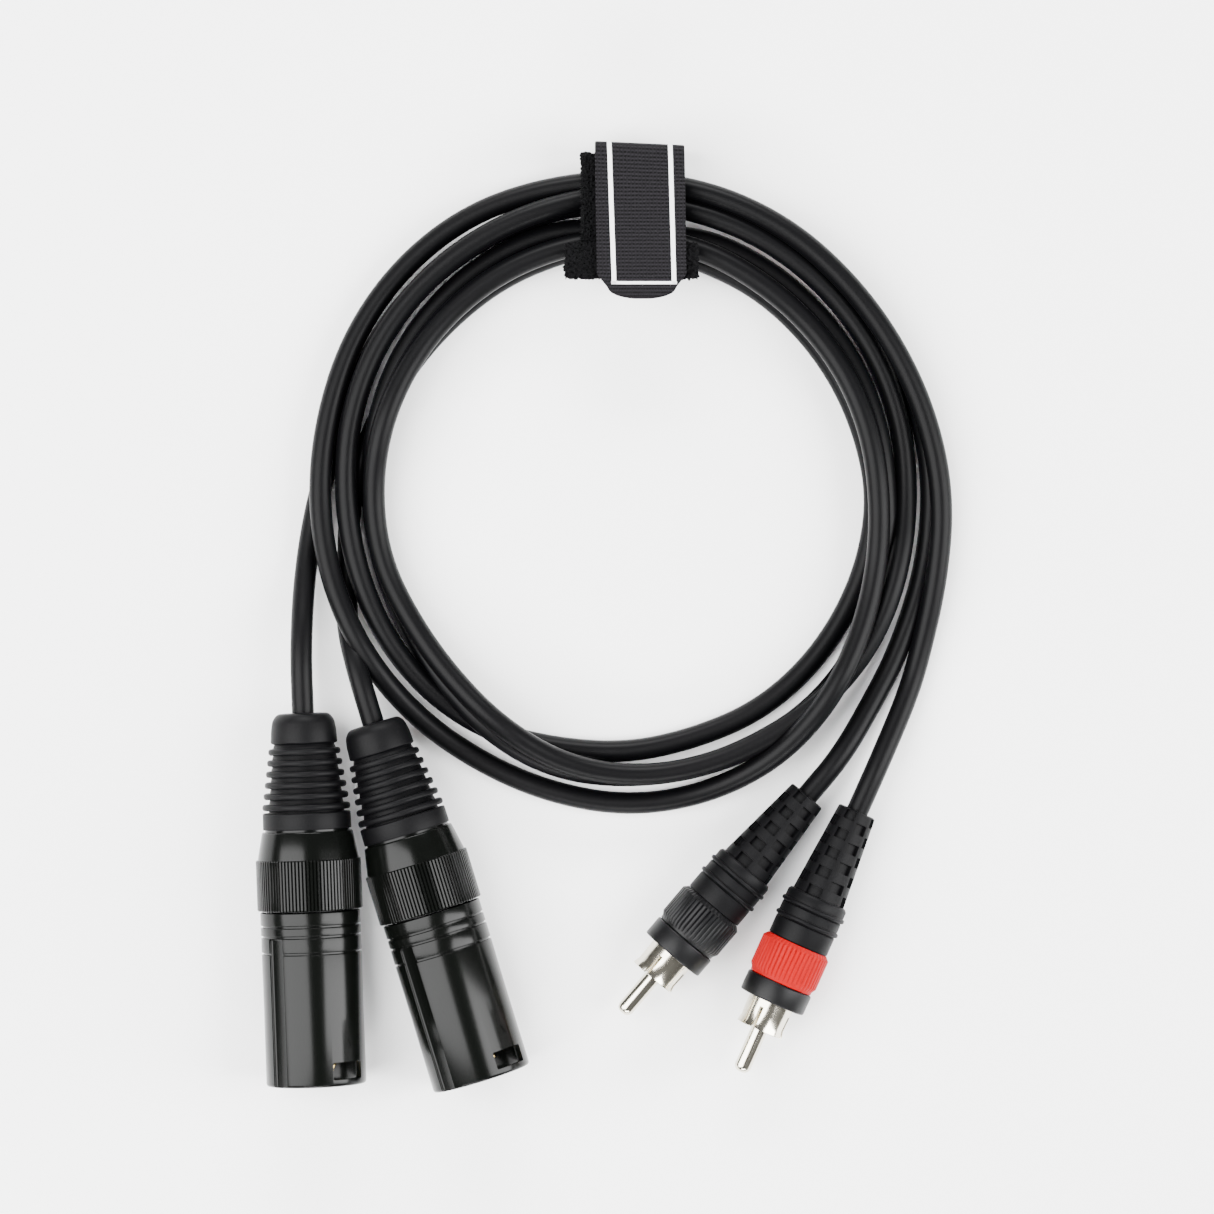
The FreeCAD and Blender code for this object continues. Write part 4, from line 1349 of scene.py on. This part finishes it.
    def build_flap(self) -> None:
        """The woven run with its rounded tip, the hook patch under it and the printed border on it."""
        route = self.woven_route()
        left, right = self.flap_left, self.flap_right
        flap = self.ribbon("strap_flap_looks", route, left, right, self.woven_thickness)
        self.round_tip(flap)
        lean_over(flap, self.flap_lean)
        dress(flap, [WEBBING], None, ["strap_flap", "strap_outer_turn"])
        lift = self.woven_thickness / 2 + self.print_gap
        lifted = [
            here + Vector((here.y - before.y, before.x - here.x)).normalized() * lift
            for before, here in zip(route, route[1:])
        ]
        foot = next(row for row, point in enumerate(lifted) if point.x < self.border_foot)
        low = left + self.border_inset
        high = right - self.border_inset
        width, thick = self.border_width, self.print_thickness
        sides = lifted[4 : foot + 1]
        borders = [
            self.ribbon("strap_print_left", sides, low, low + width, thick),
            self.ribbon("strap_print_right", sides, high - width, high, thick),
            self.ribbon("strap_print_foot", lifted[foot - 1 : foot + 1], low, high, thick),
        ]
        for line, lean in zip(borders, (self.border_lean, self.border_lean - 0.2, 0.0)):
            lean_over(line, lean)
        for vert in borders[2].data.vertices:
            vert.co.x += (self.border_lean - 0.1) * MM
        for line, nodes in zip(borders, (["strap_print"], [], [])):
            dress(line, [WHITE_PRINT], None, nodes)
        for piece in [flap, *borders]:
            self.tilt_fold(piece)
            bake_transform(piece)
        dress_node("strap_hook_patch", HOOK_TAPE)

    def tilt_fold(self, piece: Piece) -> None:
        """Draws the fold over the outer edge further out towards its left side.

        Args:
            piece: the woven run or a printed line on it.
        """
        ramp_start, ramp_length = 55.0, 8.0
        for vert in piece.data.vertices:
            share = min(1.0, max(0.0, (vert.co.y / MM - ramp_start) / ramp_length))
            vert.co.y += self.fold_tilt * (self.flap_right * MM - vert.co.x) * share

    def round_tip(self, flap: Piece) -> None:
        """Draws the flap's end in with two slants to a rounded tongue.

        Args:
            flap: the woven run.
        """
        middle = (self.flap_left + self.flap_right) / 2
        shoulder, cheek = self.tip_shoulder, self.tip_cheek
        for vert in flap.data.vertices:
            along = vert.co.y / MM
            if along < shoulder and vert.co.z > 8 * MM:
                slant = min(1.0, (shoulder - along) / (shoulder - cheek))
                round_off = max(0.0, (cheek - along) / (cheek - self.flap_tip))
                keep = (1 - self.tip_narrowing * slant) * math.sqrt(max(0.0, 1 - (0.97 * round_off) ** 2))
                vert.co.x = (middle + (vert.co.x / MM - middle) * keep) * MM


def roughen(piece: Piece, size: float, height: float) -> None:
    """Raises a piece's surface into small ragged loops, with sizes in millimetres.

    Args:
        piece: the cloth to roughen.
        size: how wide the loops are.
        height: how far they rise.
    """
    apply_modifier(piece, "REMESH", mode="VOXEL", voxel_size=PILE_VOXEL * MM)
    loops = bpy.data.textures.new(f"{piece.name}_loops", "CLOUDS")
    loops.noise_scale = size * MM
    loops.noise_depth = 2
    apply_modifier(piece, "DISPLACE", texture=loops, strength=height * MM, mid_level=0.55)


def lean_over(line: Piece, shift: float) -> None:
    """Leans a strip sideways towards its foot.

    Args:
        line: the strip.
        shift: how far its foot moves towards +X, in millimetres.
    """
    rows = [vert.co.y for vert in line.data.vertices]
    top, foot = max(rows), min(rows)
    for vert in line.data.vertices:
        vert.co.x += shift * MM * (top - vert.co.y) / (top - foot)


# ---------------------------------------------------------------- studio


@dataclass
class Studio:
    """Pale floor, soft lights and the camera that looks straight down."""

    centre: tuple[float, float] = (-4.58, -21.37)
    view_width: float = 231.7
    distance: float = 1100.0
    subject_height: float = 5.0

    def build(self) -> None:
        """Sets the floor, the lights and the camera."""
        self.build_floor()
        self.build_lights()
        self.build_camera()

    def build_floor(self) -> None:
        """A plain matt white sheet that runs out of view."""
        deselect_all()
        bpy.ops.mesh.primitive_plane_add(size=4.0, location=(0, 0, 0))
        floor = bpy.context.object
        floor.name = "studio_floor"
        floor.data.materials.append(WHITE_SWEEP.material())

    def build_lights(self) -> None:
        """Long soft boxes either side and an even white surround."""
        world = bpy.data.worlds.new("studio_surround")
        bpy.context.scene.world = world
        world.use_nodes = True
        world.node_tree.nodes["Background"].inputs["Color"].default_value = linear("#ffffff")
        world.node_tree.nodes["Background"].inputs["Strength"].default_value = 0.14
        for name, place, size, power in (
            ("left_soft_box", (-0.65, -0.1, 0.85), (0.9, 1.2), 50.0),
            ("right_soft_box", (0.95, -0.1, 0.7), (0.6, 1.2), 46.0),
            ("back_soft_box", (0.0, 1.3, 0.7), (1.2, 0.3), 44.0),
            ("front_soft_box", (0.0, -1.4, 0.7), (1.2, 0.3), 36.0),
        ):
            light = bpy.data.lights.new(name, "AREA")
            light.shape = "RECTANGLE"
            light.size, light.size_y = size
            light.energy = power
            lamp = bpy.data.objects.new(name, light)
            bpy.context.scene.collection.objects.link(lamp)
            lamp.location = place
            aim = Vector((self.centre[0] * MM, self.centre[1] * MM, 0)) - Vector(place)
            lamp.rotation_euler = aim.to_track_quat("-Z", "Y").to_euler()

    def build_camera(self) -> None:
        """Looks straight down at the middle of the object."""
        camera = bpy.data.cameras.new("top_camera")
        camera.sensor_width = 36.0
        camera.lens = 36.0 * self.distance / self.view_width
        camera.clip_end = 10.0
        item = bpy.data.objects.new("top_camera", camera)
        bpy.context.scene.collection.objects.link(item)
        x, y = self.centre
        item.location = (x * MM, y * MM, (self.distance + self.subject_height) * MM)
        bpy.context.scene.camera = item


def main() -> None:
    """Builds the studio, the plugs, the cables and the strap in order."""
    logging.basicConfig(level=logging.INFO, format="%(message)s")
    Studio().build()
    left = ThreePinPlug("left")
    right = ThreePinPlug("right")
    black = PhonoPlug("black", BLACK_ANODISED, Slot.DARK_METAL)
    red = PhonoPlug("red", RED_ANODISED, Slot.RED_RING)
    for plug in (left, right, black, red):
        plug.build()
    Cable(
        name="first_cable",
        plug=left,
        phono=red,
        lead_in=[(-62.8, -29.5, 10.0), (-62.4, -16.0, 4.6), (-60.8, -4.5, 2.1), (-58.4, 5.0, 2.1)],
        turns=FIRST_TURNS,
        lead_out=[(52.4, -39.4, 3.6), (47.2, -51.2, 6.75)],
        length=0.97,
        nodes=["left_xlr_lead", "red_rca_lead"],
    ).build()
    Cable(
        name="second_cable",
        plug=right,
        phono=black,
        lead_in=[(-51.92, -33.84, 10.0), (-54.4, -24.4, 5.0), (-54.2, -13.6, 2.1)],
        turns=SECOND_TURNS,
        lead_out=[(46.2, -39.4, 3.4), (40.1, -49.7, 6.75)],
        length=0.926,
        nodes=["right_xlr_lead", "black_rca_lead", "cable_coil"],
    ).build()
    Strap().build()


if __name__ == "__main__":
    main()
